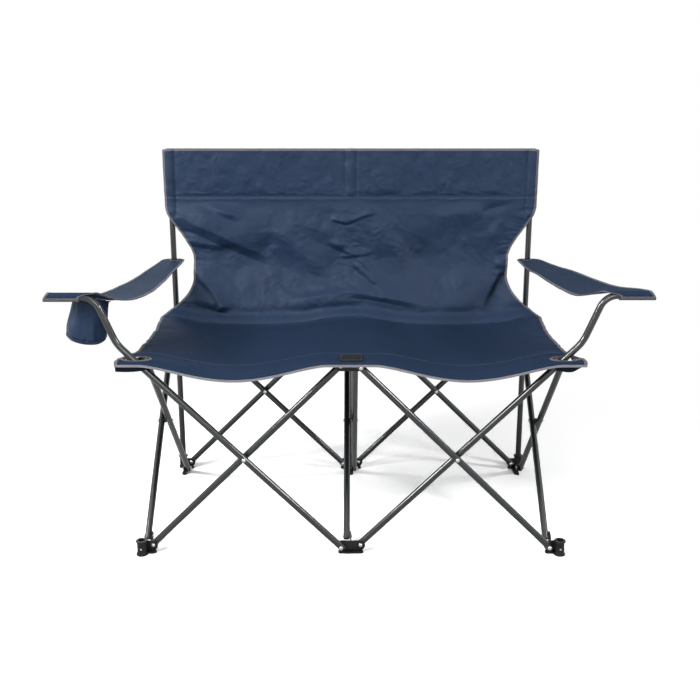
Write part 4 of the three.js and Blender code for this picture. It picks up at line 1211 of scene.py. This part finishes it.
def stitches(name, path, body, weights):
    bm = bmesh.new()
    runs = [0.0]
    for a, b in zip(path, path[1:]):
        runs.append(runs[-1] + (b - a).length)

    def at(run):
        k = min(max(i for i in range(len(runs)) if runs[i] <= run), len(path) - 2)
        return path[k].lerp(path[k + 1], (run - runs[k]) / (runs[k + 1] - runs[k]))

    start = stitch_gap
    while start + stitch_length < runs[-1]:
        a, b = at(start), at(start + stitch_length)
        heading = (b - a).normalized()
        side = heading.orthogonal().normalized()
        up = heading.cross(side)
        waist = [bm.verts.new((a + b) / 2 + (side * cos(t) + up * sin(t)) * stitch_radius)
                 for t in (0, pi / 2, pi, 3 * pi / 2)]
        tips = bm.verts.new(a), bm.verts.new(b)
        for one, other in zip(waist, waist[1:] + waist[:1]):
            bm.faces.new((tips[0], other, one))
            bm.faces.new((tips[1], one, other))
        start += stitch_length + stitch_gap
    follow(piece(f"thread_{name}", bm, thread, body, "cloth", crease=180, merge=1e-9, outward=False), weights)


def span(low, high, count):
    return [mix(low, high, k / count) for k in range(count + 1)]


def back_row(name, path):
    stitches(name, path, cloth_body, back_weights)


for name, z in (("upper", 763.4), ("lower", 756.6)):
    back_row(f"band_{name}", [on_back(x, z * mm) for x in span(-0.47, 0.47, 240)])
pocket_rows = {"left": (-0.4592, 0.712), "centre_left": (-0.0182, 0.764),
               "centre_right": (0.0182, 0.764), "right": (0.4592, 0.712)}
for name, (x, low) in pocket_rows.items():
    back_row(f"pocket_{name}", [on_back(x, z) for z in span(low, 0.874, 60)])
inside_tape = lambda z: back_reach(z) - back_tape + 1.2 * mm
for side, out in sides.items():
    back_row(f"back_{side}", [on_back(out * inside_tape(z), z, 1.7 * mm) for z in span(0.46, 0.878, 150)])
top_row = back_top - back_tape + 1.4 * mm
back_row("back_top", [on_back(x, top_row, 1.7 * mm) for x in span(-0.478, 0.478, 240)])
for name, y, reach in (("hem", seat_front + hem_depth, 0.47), ("rear_seam", seat_rear - 14 * mm, 0.48)):
    path = [on_seat(x, y, 0.8 * mm) for x in span(-reach, reach, 240)]
    stitches(name, path, cloth_body, seat_weights)
patch_corners = [(0.05, 0.06), (0.95, 0.06), (0.95, 0.94), (0.05, 0.94), (0.05, 0.06)]
path = [patch_at(mix(a[0], b[0], t), mix(a[1], b[1], t)) + Vector((0, 0, 0.9 * mm))
        for a, b in zip(patch_corners, patch_corners[1:]) for t in span(0, 0.95, 10)]
stitches("patch", path, cloth_body, seat_weights)
for side, out in sides.items():
    for edge, u in (("outer", 0.052), ("inner", 0.948)):
        path = [armrest_at(out)(u, v) + Vector((0, 0, 1.5 * mm)) for v in span(wrap_share, 0.97, 150)]
        stitches(f"armrest_{side}_{edge}", path, f"front_{side}_arm", rest_weight[side])
print("threads", len(named("thread_")))

# %% [markdown]
# The floor and the light. The photograph is a cut-out on white, so the floor is a pale sheet that keeps a soft
# shadow near the chair and turns into plain white further out, as the world behind it does.

# %% Floor
floor_material, tree, shader = new_material("pale_floor", Base_Color=linear("#f6f6f6"), Roughness=0.9)
brighter = add(tree, "ShaderNodeMapRange", From_Max=1.0, To_Min=0.5, To_Max=1.42)
place = add(tree, "ShaderNodeTexCoord").outputs["Object"]
length = add(tree, "ShaderNodeVectorMath", {0: place}, operation="LENGTH")
far = add(tree, "ShaderNodeMapRange", {"Value": length.outputs["Value"]}, interpolation_type="SMOOTHSTEP",
          From_Min=0.75, From_Max=1.35)
camera_ray = add(tree, "ShaderNodeLightPath").outputs["Is Camera Ray"]
tree.links.new(camera_ray, brighter.inputs["Value"])
tree.links.new(brighter.outputs["Result"], shader.inputs["Base Color"])
looks = seen_directly(tree)
seen = add(tree, "ShaderNodeMath", {0: far.outputs["Result"], 1: looks.outputs[0]}, operation="MULTIPLY")
white = add(tree, "ShaderNodeEmission", Strength=1.0)
both = add(tree, "ShaderNodeMixShader", {0: seen.outputs[0], 1: shader.outputs[0], 2: white.outputs[0]})
tree.links.new(both.outputs[0], tree.nodes["Material Output"].inputs["Surface"])
bm = bmesh.new()
bmesh.ops.create_circle(bm, cap_ends=True, segments=64, radius=14)
mesh = bpy.data.meshes.new("floor")
bm.to_mesh(mesh)
bm.free()
mesh.materials.append(floor_material)
floor = linked("floor", mesh)

# %% World and lamps
world = bpy.data.worlds.new("studio")
bpy.context.scene.world = world
world.use_nodes = True
tree = world.node_tree
sky = tree.nodes["Background"]
sky.inputs["Color"].default_value = linear("#ffffff")
sky.inputs["Strength"].default_value = 0.2
plain = add(tree, "ShaderNodeBackground", Color=linear("#ffffff"), Strength=1.0)
seen = seen_directly(tree)
both = add(tree, "ShaderNodeMixShader", {0: seen.outputs[0], 1: sky.outputs[0], 2: plain.outputs[0]})
tree.links.new(both.outputs[0], tree.nodes["World Output"].inputs["Surface"])


def lamp(name, place, target, width, height, power):
    light = bpy.data.lights.new(name, "AREA")
    light.shape, light.size, light.size_y, light.energy = "RECTANGLE", width, height, power
    obj = linked(name, light)
    obj.location = place
    obj.rotation_euler = (Vector(target) - Vector(place)).to_track_quat("-Z", "Y").to_euler()


lamp("key_softbox", (-2.2, -2.3, 2.7), (0, 0, 0.5), 0.9, 0.9, 90)
lamp("left_softbox", (-2.45, -1.1, 1.9), (0, 0, 0.3), 0.5, 0.5, 58)
lamp("right_softbox", (2.45, -1.1, 1.9), (0, 0, 0.3), 0.5, 0.5, 42)
lamp("front_softbox", (0.4, -3.2, 1.6), (0, 0, 0.4), 1.4, 1.4, 34)
lamp("rear_softbox", (-1.0, 2.8, 2.0), (0, 0, 0.5), 1.5, 1.5, 25)
lamp("top_softbox", (-0.3, -0.6, 3.2), (0, 0, 0.3), 2.0, 2.0, 12)
bpy.context.scene.view_settings.view_transform = "Standard"

# %% [markdown]
# The camera stands where the photograph's did. It was found by fitting the frame's rivets and posts: 2.18 m
# in front of the chair's middle, 0.96 m up, tipped down by 14.3 degrees.

# %% Camera
camera = bpy.data.cameras.new("camera")
camera.sensor_width, camera.lens, camera.shift_x = 36, 47.31, -0.0011
stand = linked("camera", camera)
stand.location = (0, -2.179, 0.9647)
stand.rotation_euler = (radians(90 - 14.27), 0, 0)
bpy.context.scene.camera = stand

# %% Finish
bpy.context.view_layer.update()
for column, length in sleeve_lengths.items():
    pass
